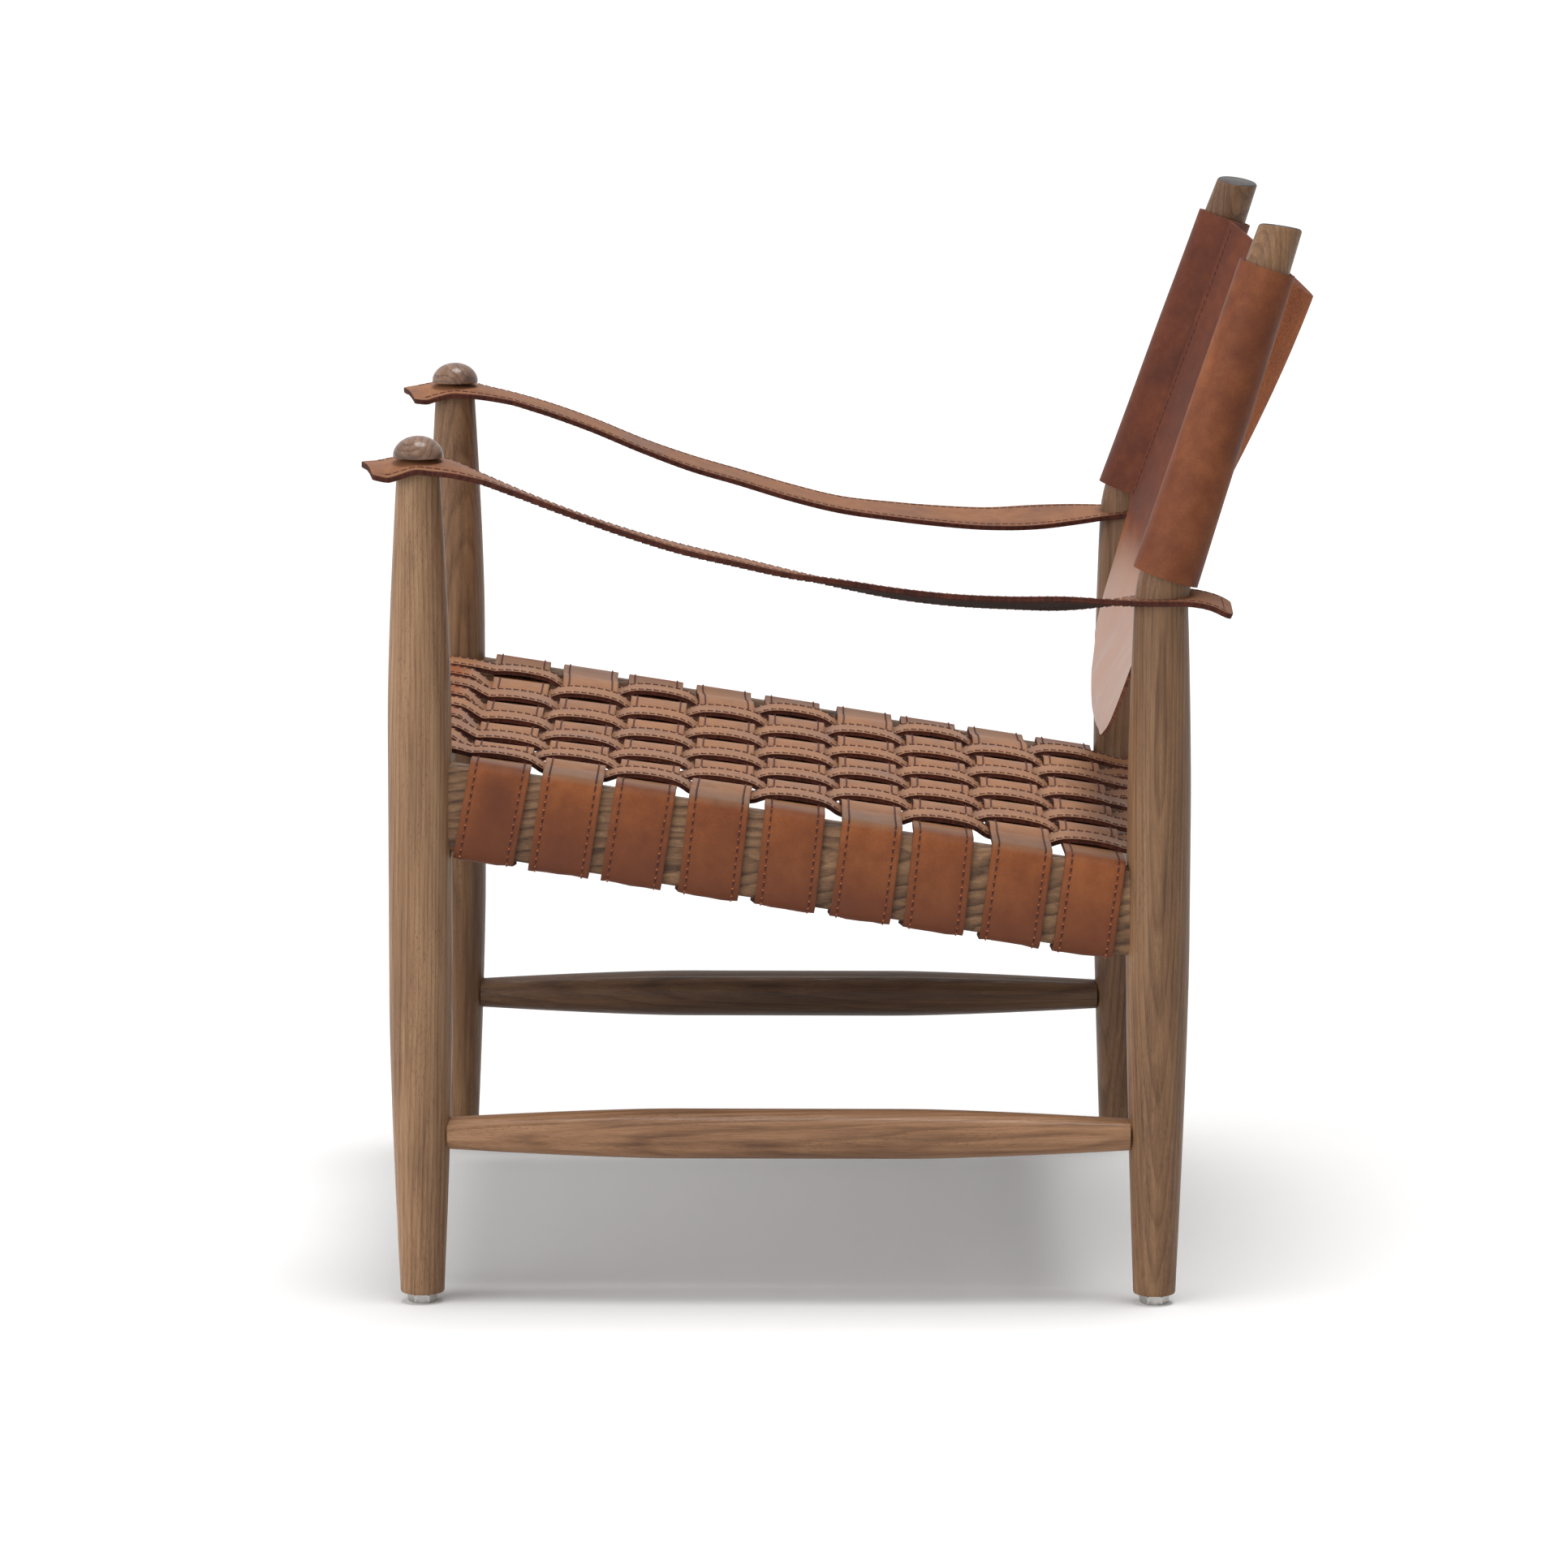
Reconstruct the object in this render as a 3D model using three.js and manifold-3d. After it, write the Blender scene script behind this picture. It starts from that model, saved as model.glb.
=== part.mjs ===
// Safari lounge armchair: turned wooden frame, woven leather seat, sling back and strap arms.
// Millimetres, +Z up. The chair faces -Y, so its left side, seen by the sitter, is +X.

import * as THREE from "three";
import { mergeVertices } from "three/addons/utils/BufferGeometryUtils.js";
import Module from "manifold-3d";

const wasm = await Module();
wasm.setup();

// Overall layout
const leg_spacing_across = 584;
const leg_spacing_deep = 542;
const joint_gap = 0.3;
const cut_overrun = 20;
const weld_distance = 1e-4;
const turned_sides = 20;
const small_sides = 12;

// Legs
const leg_bottom = 7.5;
const front_leg_top = 622.8;
const belly_radius = 23.4;
const front_foot_radius = 16.2;
const rear_foot_radius = 15.6;
const foot_rounding = 1.6;
const front_belly_low = 215;
const front_belly_high = 448;
const front_top_radius = 15.8;
const front_top_dome = 4.4;
const rear_belly_low = 258;
const rear_belly_high = 382;
const taper_rows = 4;
const dome_rows = 3;

// Back posts, the leaning upper ends of the rear legs
const kink_height = 533;
const kink_radius = 19.5;
const back_recline_degrees = 18.3;
const post_length = 275;
const post_toe_in = 37;
const post_shoulder_radius = 18.1;
const post_top_radius = 15.9;
const post_top_taper = 80;
const post_top_rounding = 1.8;
const kink_blend = 14;

// Stretchers between the legs of one side
const stretcher_height = 127;
const stretcher_belly_radius = 18.5;
const stretcher_end_radius = 10.7;
const stretcher_belly_length = 190;
const stretcher_tenon_radius = 8.5;
const stretcher_tenon_depth = 15;
const stretcher_tenon_root = 12;

// Seat frame: four rails in one plane that slopes down to the back
const seat_slope_degrees = 8.7;
const seat_height = 365.7;
const rail_depth = 65;
const rail_thickness = 20;
const rail_rounding = 7;
const rail_corner_steps = 3;
const rail_tenon_height = 44;
const rail_tenon_thickness = 10;
const rail_tenon_stand_off = 8;
const rail_tenon_root = 14;

// Woven seat straps
const strap_count = 9;
const strap_width = 44.6;
const strap_thickness = 3.5;
const cross_strap_pitch = 55.3;
const long_strap_pitch = 56;
const strap_lay_gap = 0.4;
const cross_strap_wave = 1.0;
const long_strap_wave = 4.0;
const seat_sag_front = 11;
const seat_sag_rear = 1.2;
const seat_sag_fade_power = 2;
const seat_sag_run_in = 24;
const strap_end_set_in = 3;
const wave_square_share = 0.85;
const wave_sharpness = 5;
const cross_sample_shares = [-0.38, 0, 0.38];
const long_sample_shares = [-0.41, -0.16, 0.16, 0.41];
const ramp_sample_shares = [0.3, 0.6, 1];

// Arm straps
const arm_strap_width = 50;
const arm_strap_thickness = 4.4;
const arm_strap_rear_height = 524;
const arm_nose_length = 42.6;
const arm_nose_droop = 4.8;
const arm_nose_rounding = 16;
const arm_tail_length = 51;
const arm_tail_droop = 7.1;
const arm_tail_rounding = 10;
const arm_strap_steps = 38;
const post_hole_clearance = 0.35;

// Courses of the arm strap: share of the run, share of the fall, roll in degrees
const arm_nose_shares = [[1, 0.65, 0], [0.75, 1, -2], [0.46, 0.8, -4], [0.22, 0.12, -1.5]];
const arm_course_shares = [
  [0, 0, 0],
  [0.024, 0.014, 0],
  [0.042, 0.037, 0.5],
  [0.079, 0.096, 2],
  [0.131, 0.214, 3.6],
  [0.205, 0.349, 4.2],
  [0.279, 0.5, 4],
  [0.352, 0.629, 4],
  [0.426, 0.726, 4],
  [0.5, 0.829, 4.8],
  [0.574, 0.913, 7.5],
  [0.648, 0.975, 10],
  [0.721, 1.01, 11.5],
  [0.795, 1.036, 13],
  [0.869, 1.03, 14.5],
  [0.93, 1.02, 10.5],
  [0.972, 1, 3.5],
  [1, 1, 0],
];
const arm_tail_shares = [[0.37, -0.15, -4], [0.7, 0.07, -5], [1, 1, -7]];

// Knobs that clamp the arm straps on the front legs
const knob_radius = 18.4;
const knob_height = 16;
const knob_rim_height = 1.3;
const knob_rim_bevel = 0.7;
const knob_dome_steps = 6;
const stud_radius = 4;
const stud_depth_in_leg = 26;
const stud_depth_in_knob = 9.5;
const stud_clearance = 0.3;

// Leather sling back
const sling_thickness = 2.8;
const sleeve_start = 9.4;
const sleeve_length = 235.2;
const sleeve_top_radius = 21.5;
const sleeve_bottom_radius = 24.8;
const flap_half_width = 252;
const flap_length = 140.4;
const flap_end_rise = 10;
const flap_corner_radius = 48;
const flap_lean = 5.5;
const sleeve_fillet = 9;
const sling_sag = 60.5;
const sling_flat_below = 129.4;
const sling_sag_rise = 380;
const sling_top_dip = 22;
const sling_levels = 8;
const sling_panel_steps = 14;
const sleeve_sides = 16;
const sling_edge_steps = 5;
const sling_cut_depth = 160;

// Levelling feet
const foot_hex_sides = 6;
const foot_hex_flats = 19;
const foot_hex_chamfer = 1;
const foot_stud_radius = 3.9;
const foot_stud_length = 24;
const foot_insert_radius = 5.6;
const foot_insert_length = 16;
const foot_thread_clearance = 0.15;
const foot_stud_bore_radius = 4.6;
const foot_bore_spare = 3;

// Derived angles and places
const seat_slope = THREE.MathUtils.degToRad(seat_slope_degrees);
const back_recline = THREE.MathUtils.degToRad(back_recline_degrees);
const leg_x = leg_spacing_across / 2;
const leg_y = leg_spacing_deep / 2;
const toe_in_slope = post_toe_in / post_length;
const sleeve_end = sleeve_start + sleeve_length;
const strap_middle = (strap_count - 1) / 2;
const sling_cut_reach = leg_x + sleeve_bottom_radius + cut_overrun;

const wood = new THREE.MeshStandardMaterial({ color: 0x6f5138, roughness: 0.55, metalness: 0 });
const dark_wood = new THREE.MeshStandardMaterial({ color: 0x5d4434, roughness: 0.4, metalness: 0 });
const leather = new THREE.MeshStandardMaterial({ color: 0x9a5432, roughness: 0.6, metalness: 0 });
const steel = new THREE.MeshStandardMaterial({ color: 0xb9b9b9, roughness: 0.3, metalness: 1 });
const brass = new THREE.MeshStandardMaterial({ color: 0xb08d4a, roughness: 0.4, metalness: 1 });

// Closed meshes in and out of the boolean library

function toSolid(geometry) {
  const bare = geometry.clone();
  bare.deleteAttribute("normal");
  bare.deleteAttribute("uv");
  const merged = mergeVertices(bare, weld_distance);
  return new wasm.Manifold(new wasm.Mesh({
    numProp: 3,
    vertProperties: new Float32Array(merged.attributes.position.array),
    triVerts: new Uint32Array(merged.index.array),
  }));
}

function toGeometry(solid) {
  const mesh = solid.getMesh();
  const geometry = new THREE.BufferGeometry();
  geometry.setAttribute("position", new THREE.BufferAttribute(new Float32Array(mesh.vertProperties), 3));
  geometry.setIndex(new THREE.BufferAttribute(new Uint32Array(mesh.triVerts), 1));
  geometry.computeVertexNormals();
  return geometry;
}

function cut(base, ...tools) {
  return tools.reduce((solid, tool) => solid.subtract(tool), base);
}

// Loft through rings that hold the same number of points; the caps are fans
function loft(rings) {
  const count = rings[0].length;
  const positions = rings.flat().flatMap((point) => [point.x, point.y, point.z]);
  const index = [];
  for (let r = 0; r + 1 < rings.length; r += 1) {
    for (let k = 0; k < count; k += 1) {
      const a = r * count + k;
      const b = r * count + (k + 1) % count;
      index.push(a, b, b + count, a, b + count, a + count);
    }
  }
  const last = (rings.length - 1) * count;
  for (let k = 1; k + 1 < count; k += 1) {
    index.push(0, k + 1, k);
    index.push(last, last + k, last + k + 1);
  }
  if (signedVolume(rings.flat(), index) < 0) {
    index.reverse();
  }
  const geometry = new THREE.BufferGeometry();
  geometry.setAttribute("position", new THREE.Float32BufferAttribute(positions, 3));
  geometry.setIndex(index);
  geometry.computeVertexNormals();
  return geometry;
}

function signedVolume(points, index) {
  const normal = new THREE.Vector3();
  let volume = 0;
  for (let k = 0; k < index.length; k += 3) {
    normal.crossVectors(points[index[k + 1]], points[index[k + 2]]);
    volume += points[index[k]].dot(normal);
  }
  return volume;
}

// Half way between a straight taper and a quarter sine, as a turned leg swells
function swell(share) {
  return (share + Math.sin(share * Math.PI / 2)) / 2;
}

function taperRows(low, high, low_radius, high_radius) {
  const rows = [];
  for (let k = 0; k <= taper_rows; k += 1) {
    const share = k / taper_rows;
    rows.push([low_radius + (high_radius - low_radius) * swell(share), low + (high - low) * share]);
  }
  return rows;
}

// Rings of a round section whose centre, direction and radius are given for each station
function roundRings(stations, sides) {
  return stations.map(({ centre, direction, radius }) => {
    const along = direction.clone().normalize();
    const side = new THREE.Vector3(1, 0, 0).addScaledVector(along, -along.x).normalize();
    const front = new THREE.Vector3().crossVectors(along, side);
    const ring = [];
    for (let k = 0; k < sides; k += 1) {
      const angle = (k / sides) * 2 * Math.PI;
      ring.push(centre.clone()
        .addScaledVector(side, radius * Math.cos(angle))
        .addScaledVector(front, radius * Math.sin(angle)));
    }
    return ring;
  });
}

function turned(profile, sides) {
  const points = profile.map(([radius, height]) => new THREE.Vector2(radius, height));
  const geometry = new THREE.LatheGeometry(points, sides);
  geometry.rotateX(Math.PI / 2);
  return geometry;
}

function rod(radius, low, high, sides) {
  return turned([[0, low], [radius, low], [radius, high], [0, high]], sides);
}

function moved(geometry, x, y, z) {
  return geometry.clone().translate(x, y, z);
}

// Places of the seat frame: x across, u down the slope to the back, w square to the seat
const seat = new THREE.Group();
seat.position.set(0, 0, seat_height);
seat.rotation.x = -seat_slope;
seat.updateMatrix();
const into_seat = seat.matrix.clone().invert();

// Where a vertical leg axis crosses the seat frame at half the rails' depth
function legInSeat(y) {
  return (y + rail_depth / 2 * Math.sin(seat_slope)) / Math.cos(seat_slope);
}

const front_rail_u = legInSeat(-leg_y);
const rear_rail_u = legInSeat(leg_y);
const strap_middle_u = (front_rail_u + rear_rail_u) / 2;

// Places of the back: x across, n square to the back, s up along the posts from their kink
const back = new THREE.Group();
back.position.set(0, leg_y, kink_height);
back.rotation.x = -back_recline;

// Front leg: a cigar with a domed top

function frontLegProfile(offset) {
  const rows = [
    ...taperRows(leg_bottom, front_belly_low, front_foot_radius, belly_radius),
    ...taperRows(front_leg_top - front_top_dome, front_belly_high, front_top_radius, belly_radius).reverse(),
  ];
  for (let k = 1; k <= dome_rows; k += 1) {
    const angle = (k / (dome_rows + 1)) * Math.PI / 2;
    const height = front_leg_top - front_top_dome * (1 - Math.sin(angle));
    rows.push([front_top_radius * Math.cos(angle), height]);
  }
  rows[0] = [front_foot_radius, leg_bottom + foot_rounding];
  const low = leg_bottom - offset;
  const high = front_leg_top + offset;
  return [
    [0, low],
    [front_foot_radius - foot_rounding + offset, low],
    ...rows.map(([radius, height]) => [radius + offset, height]),
    [0, high],
  ];
}

// Rear leg: a cigar below the kink and a leaning post above it

function rearLegStations(side, offset) {
  const up = new THREE.Vector3(0, 0, 1);
  const lean = new THREE.Vector3(-side * toe_in_slope, Math.sin(back_recline), Math.cos(back_recline));
  const bend = up.clone().add(lean.clone().normalize()).normalize();
  const axis = (height) => new THREE.Vector3(side * leg_x, leg_y, height);
  const onPost = (s) => new THREE.Vector3(side * leg_x, leg_y, kink_height).addScaledVector(lean, s);
  const low_rows = taperRows(leg_bottom, rear_belly_low, rear_foot_radius, belly_radius);
  low_rows[0] = [rear_foot_radius, leg_bottom + foot_rounding];
  const high_rows = taperRows(kink_height, rear_belly_high, kink_radius, belly_radius).reverse();
  high_rows.pop();
  const stations = [
    { centre: axis(leg_bottom - offset), direction: up, radius: rear_foot_radius - foot_rounding + offset },
    ...[...low_rows, ...high_rows].map(([radius, height]) => (
      { centre: axis(height), direction: up, radius: radius + offset })),
    { centre: axis(kink_height - kink_blend), direction: up, radius: kink_radius + offset },
    { centre: axis(kink_height), direction: bend, radius: kink_radius + offset },
    { centre: onPost(kink_blend), direction: lean, radius: kink_radius + offset },
  ];
  const shoulder = post_length - post_top_taper;
  const rows = taperRows(post_length - post_top_rounding, shoulder, post_top_radius, post_shoulder_radius);
  for (const [radius, s] of rows.reverse()) {
    stations.push({ centre: onPost(s), direction: lean, radius: radius + offset });
  }
  stations.push({
    centre: onPost(post_length + offset),
    direction: lean,
    radius: post_top_radius - post_top_rounding + offset,
  });
  return stations;
}

function legSolid(side, end, offset) {
  if (end === "front") {
    return toSolid(moved(turned(frontLegProfile(offset), turned_sides), side * leg_x, -leg_y, 0));
  }
  return toSolid(loft(roundRings(rearLegStations(side, offset), turned_sides)));
}

// Tenons and the holes that take them

function stretcherTenon(side, end, growth) {
  const sign = end === "front" ? -1 : 1;
  const radius = stretcher_tenon_radius + growth;
  const shoulder = leg_y - stretcher_end_radius - stretcher_tenon_root;
  const tip = leg_y - belly_radius + stretcher_tenon_depth + growth;
  const geometry = rod(radius, Math.min(sign * shoulder, sign * tip), Math.max(sign * shoulder, sign * tip),
    small_sides);
  geometry.rotateX(-Math.PI / 2);
  return toSolid(moved(geometry, side * leg_x, 0, stretcher_height));
}

function boxBetween(low, high) {
  const size = new THREE.Vector3().subVectors(high, low);
  const middle = new THREE.Vector3().addVectors(high, low).multiplyScalar(1 / 2);
  return new THREE.BoxGeometry(size.x, size.y, size.z).translate(middle.x, middle.y, middle.z);
}

function sideRailTenon(side, end, growth) {
  const leg_u = end === "front" ? front_rail_u : rear_rail_u;
  const inward = end === "front" ? 1 : -1;
  const tip = leg_u + inward * (rail_tenon_stand_off - growth);
  const root = leg_u + inward * (belly_radius + rail_tenon_root);
  const half = rail_tenon_thickness / 2 + growth;
  const reach = rail_tenon_height / 2 + growth;
  return boxBetween(
    new THREE.Vector3(side * leg_x - half, Math.min(tip, root), -rail_depth / 2 - reach),
    new THREE.Vector3(side * leg_x + half, Math.max(tip, root), -rail_depth / 2 + reach));
}

function crossRailTenon(side, end, growth) {
  const leg_u = end === "front" ? front_rail_u : rear_rail_u;
  const tip = side * (leg_x - rail_tenon_stand_off + growth);
  const root = side * (leg_x - belly_radius - rail_tenon_root);
  const half = rail_tenon_thickness / 2 + growth;
  const reach = rail_tenon_height / 2 + growth;
  return boxBetween(
    new THREE.Vector3(Math.min(tip, root), leg_u - half, -rail_depth / 2 - reach),
    new THREE.Vector3(Math.max(tip, root), leg_u + half, -rail_depth / 2 + reach));
}

function seatToolInRoom(geometry) {
  return toSolid(geometry.clone().applyMatrix4(seat.matrix));
}

function footBore(side, end) {
  const y = end === "front" ? -leg_y : leg_y;
  const insert_top = leg_bottom + foot_insert_length + joint_gap;
  const bore_top = leg_bottom + foot_stud_length + foot_bore_spare;
  const profile = [
    [0, leg_bottom - cut_overrun],
    [foot_insert_radius + joint_gap, leg_bottom - cut_overrun],
    [foot_insert_radius + joint_gap, insert_top],
    [foot_stud_bore_radius, insert_top],
    [foot_stud_bore_radius, bore_top],
    [0, bore_top],
  ];
  return toSolid(moved(turned(profile, small_sides), side * leg_x, y, 0));
}

function knobStudBore(side) {
  const radius = stud_radius + stud_clearance;
  const low = front_leg_top - stud_depth_in_leg - joint_gap;
  return toSolid(moved(rod(radius, low, front_leg_top + cut_overrun, small_sides), side * leg_x, -leg_y, 0));
}

function legGeometry(side, end) {
  const tools = [
    stretcherTenon(side, end, joint_gap),
    seatToolInRoom(sideRailTenon(side, end, joint_gap)),
    seatToolInRoom(crossRailTenon(side, end, joint_gap)),
    footBore(side, end),
  ];
  if (end === "front") {
    tools.push(knobStudBore(side));
  }
  return toGeometry(cut(legSolid(side, end, 0), ...tools));
}

// Stretcher: round belly, long tapers, round tenons, ends scribed to the legs

function stretcherGeometry(side) {
  const half = stretcher_belly_length / 2;
  const rear = taperRows(leg_y, half, stretcher_end_radius, stretcher_belly_radius).reverse();
  const front = rear.map(([radius, y]) => [radius, -y]).reverse();
  const profile = [[0, -leg_y], ...front, ...rear, [0, leg_y]];
  const geometry = turned(profile, turned_sides);
  geometry.rotateX(-Math.PI / 2);
  const shaft = cut(
    toSolid(moved(geometry, side * leg_x, 0, stretcher_height)),
    legSolid(side, "front", joint_gap),
    legSolid(side, "rear", joint_gap));
  return toGeometry(shaft.add(stretcherTenon(side, "front", 0)).add(stretcherTenon(side, "rear", 0)));
}

// Rails: boards with rounded edges, ends scribed to the legs, flat tenons

function cornerArc(x, y, radius, from) {
  const points = [];
  for (let k = 0; k <= rail_corner_steps; k += 1) {
    const angle = from - (k / rail_corner_steps) * Math.PI / 2;
    points.push([x + radius * Math.cos(angle), y + radius * Math.sin(angle)]);
  }
  return points;
}

function railSection(offset) {
  const x = rail_thickness / 2 - rail_rounding;
  const low = -rail_depth + rail_rounding;
  const radius = rail_rounding + offset;
  return [
    ...cornerArc(x, -rail_rounding, radius, Math.PI / 2),
    ...cornerArc(x, low, radius, 0),
    ...cornerArc(-x, low, radius, -Math.PI / 2),
    ...cornerArc(-x, -rail_rounding, radius, Math.PI),
  ];
}

function railBoard(place, from, to) {
  return loft([from, to].map((end) => railSection(0).map(([across, w]) => place(across, end, w))));
}

function legsInSeat(side, end) {
  return toSolid(toGeometry(legSolid(side, end, joint_gap)).applyMatrix4(into_seat));
}

function sideRailGeometry(side) {
  const place = (across, u, w) => new THREE.Vector3(side * leg_x + across, u, w);
  const board = cut(
    toSolid(railBoard(place, front_rail_u, rear_rail_u)),
    legsInSeat(side, "front"),
    legsInSeat(side, "rear"));
  return toGeometry(board
    .add(toSolid(sideRailTenon(side, "front", 0)))
    .add(toSolid(sideRailTenon(side, "rear", 0))));
}

function crossRailGeometry(end) {
  const leg_u = end === "front" ? front_rail_u : rear_rail_u;
  const place = (across, x, w) => new THREE.Vector3(x, leg_u + across, w);
  const board = cut(toSolid(railBoard(place, -leg_x, leg_x)), legsInSeat(-1, end), legsInSeat(1, end));
  return toGeometry(board
    .add(toSolid(crossRailTenon(-1, end, 0)))
    .add(toSolid(crossRailTenon(1, end, 0))));
}

// Straps: a flat band along a course, offset from it by half its thickness each way

function band(course, half_thickness, ring) {
  return loft(course.map((point, k) => {
    const before = course[Math.max(k - 1, 0)];
    const after = course[Math.min(k + 1, course.length - 1)];
    const entry = new THREE.Vector2(point[0] - before[0], point[1] - before[1]).normalize();
    const exit = new THREE.Vector2(after[0] - point[0], after[1] - point[1]).normalize();
    const tangent = entry.clone().add(exit).normalize();
    const reach = half_thickness / Math.max(tangent.dot(k === 0 ? exit : entry), 1 / 2);
    return ring(point, new THREE.Vector2(-tangent.y, tangent.x).multiplyScalar(reach));
  }));
}

// Half a wave from over one strap to under the next; near flat where it crosses a strap
function weave(place) {
  const turn = Math.cos(place * Math.PI);
  const square = Math.tanh(wave_sharpness * turn) / Math.tanh(wave_sharpness);
  return wave_square_share * square + (1 - wave_square_share) * turn;
}

// How far the woven surface hangs below the rails at a place in the seat; most at the front
function sagAt(x, u) {
  const half_across = leg_x - rail_thickness / 2;
  const low = front_rail_u + rail_thickness / 2;
  const high = rear_rail_u - rail_thickness / 2;
  const across_share = Math.min(Math.abs(x) / half_across, 1);
  const rear_share = THREE.MathUtils.clamp((u - low) / (high - low), 0, 1);
  const run_in = THREE.MathUtils.smoothstep(Math.min(u - low, high - u), 0, seat_sag_run_in);
  const fade = (1 - rear_share) ** seat_sag_fade_power;
  const depth = seat_sag_rear + (seat_sag_front - seat_sag_rear) * fade;
  return depth * run_in * (1 - across_share ** 2);
}

// The wrap of a strap round a rail: over the top, down the outside and back under
function railWrap(rail_place, outward) {
  const lay = strap_lay_gap + strap_thickness / 2;
  const x = rail_thickness / 2 - rail_rounding;
  const inner = -rail_thickness / 2 + strap_end_set_in;
  const points = [
    [-x, lay],
    ...cornerArc(x, -rail_rounding, rail_rounding + lay, Math.PI / 2),
    ...cornerArc(x, -rail_depth + rail_rounding, rail_rounding + lay, 0),
    [inner, -rail_depth - lay],
  ];
  return points.map(([across, w]) => [rail_place + outward * across, w]);
}

// Course of one woven strap between two rails, as [place along, height]
function strapCourse({ low_rail, high_rail, middle, pitch, samples, wave, sag, starts_over }) {
  const lay = strap_lay_gap + strap_thickness / 2;
  const edge = strap_middle + strap_width / 2 / pitch;
  const heightAt = (place, hold) => {
    const inside = Math.sign(place) * Math.min(Math.abs(place), edge);
    return lay + hold * wave * weave(inside) * starts_over - sag(middle + place * pitch);
  };
  const points = [];
  for (let k = -strap_middle; k <= strap_middle; k += 1) {
    for (const share of samples) {
      points.push([middle + (k + share) * pitch, heightAt(k + share, 1)]);
    }
  }
  const ramp = (rail_face, outward) => ramp_sample_shares.map((share) => {
    const start = outward * edge;
    const end = (rail_face - middle) / pitch;
    const place = start + (end - start) * share;
    return [middle + place * pitch, heightAt(place, 1 - share * share * (3 - 2 * share))];
  });
  const inner = rail_thickness / 2;
  const low = [...ramp(low_rail + inner, -1), ...railWrap(low_rail, -1)];
  const high = [...ramp(high_rail - inner, 1), ...railWrap(high_rail, 1)];
  return [...low.reverse(), ...points, ...high];
}

// Section corners of a strap; each edge follows the sag at its own place
function strapRing(place, sag_here, sag_at_edge, reach) {
  const half = strap_width / 2;
  return [[-half, 1], [half, 1], [half, -1], [-half, -1]].map(([across, face]) => (
    place(across, face * reach.x, face * reach.y + sag_here - sag_at_edge(across))));
}

function crossStrapGeometry(number) {
  const u = strap_middle_u + (number - strap_middle) * cross_strap_pitch;
  const course = strapCourse({
    low_rail: -leg_x,
    high_rail: leg_x,
    middle: 0,
    pitch: long_strap_pitch,
    samples: cross_sample_shares,
    wave: cross_strap_wave,
    sag: (x) => sagAt(x, u),
    starts_over: number % 2 === 0 ? -1 : 1,
  });
  return band(course, strap_thickness / 2, ([x, w], reach) => strapRing(
    (across, along, rise) => new THREE.Vector3(x + along, u + across, w + rise),
    sagAt(x, u), (across) => sagAt(x, u + across), reach));
}

function longStrapGeometry(number) {
  const x = (number - strap_middle) * long_strap_pitch;
  const course = strapCourse({
    low_rail: front_rail_u,
    high_rail: rear_rail_u,
    middle: strap_middle_u,
    pitch: cross_strap_pitch,
    samples: long_sample_shares,
    wave: long_strap_wave,
    sag: (u) => sagAt(x, u),
    starts_over: number % 2 === 0 ? 1 : -1,
  });
  return band(course, strap_thickness / 2, ([u, w], reach) => strapRing(
    (across, along, rise) => new THREE.Vector3(x + across, u + along, w + rise),
    sagAt(x, u), (across) => sagAt(x + across, u), reach));
}

// Arm strap: a band that sags from knob to post and rolls on its way

const arm_strap_front_height = front_leg_top + joint_gap + arm_strap_thickness / 2;

function armCourse() {
  const fall = arm_strap_front_height - arm_strap_rear_height;
  const nose = arm_nose_shares.map(([run, drop, roll]) => (
    new THREE.Vector3(-leg_y - run * arm_nose_length, arm_strap_front_height - drop * arm_nose_droop, roll)));
  const middle = arm_course_shares.map(([run, drop, roll]) => (
    new THREE.Vector3(-leg_y + run * leg_spacing_deep, arm_strap_front_height - drop * fall, roll)));
  const tail = arm_tail_shares.map(([run, drop, roll]) => (
    new THREE.Vector3(leg_y + run * arm_tail_length, arm_strap_rear_height - drop * arm_tail_droop, roll)));
  return new THREE.CatmullRomCurve3([...nose, ...middle, ...tail], false, "centripetal");
}

function armStrapOutline(side) {
  const half = arm_strap_width / 2;
  const front = -leg_y - arm_nose_length;
  const rear = leg_y + arm_tail_length;
  const shape = new THREE.Shape();
  shape.moveTo(side * leg_x - half - cut_overrun, front + arm_nose_rounding);
  shape.lineTo(side * leg_x - half, front + arm_nose_rounding);
  shape.absellipse(side * leg_x, front + arm_nose_rounding, half, arm_nose_rounding, Math.PI, 2 * Math.PI);
  shape.lineTo(side * leg_x + half + cut_overrun, front + arm_nose_rounding);
  shape.lineTo(side * leg_x + half + cut_overrun, rear - arm_tail_rounding);
  shape.lineTo(side * leg_x + half, rear - arm_tail_rounding);
  shape.absarc(side * leg_x + half - arm_tail_rounding, rear - arm_tail_rounding, arm_tail_rounding,
    0, Math.PI / 2);
  shape.absarc(side * leg_x - half + arm_tail_rounding, rear - arm_tail_rounding, arm_tail_rounding,
    Math.PI / 2, Math.PI);
  shape.lineTo(side * leg_x - half - cut_overrun, rear - arm_tail_rounding);
  const geometry = new THREE.ExtrudeGeometry(shape, {
    depth: arm_strap_front_height + 2 * cut_overrun - arm_strap_rear_height + 2 * cut_overrun,
    bevelEnabled: false,
    curveSegments: sling_edge_steps,
  });
  return toSolid(geometry.translate(0, 0, arm_strap_rear_height - 2 * cut_overrun));
}

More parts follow.
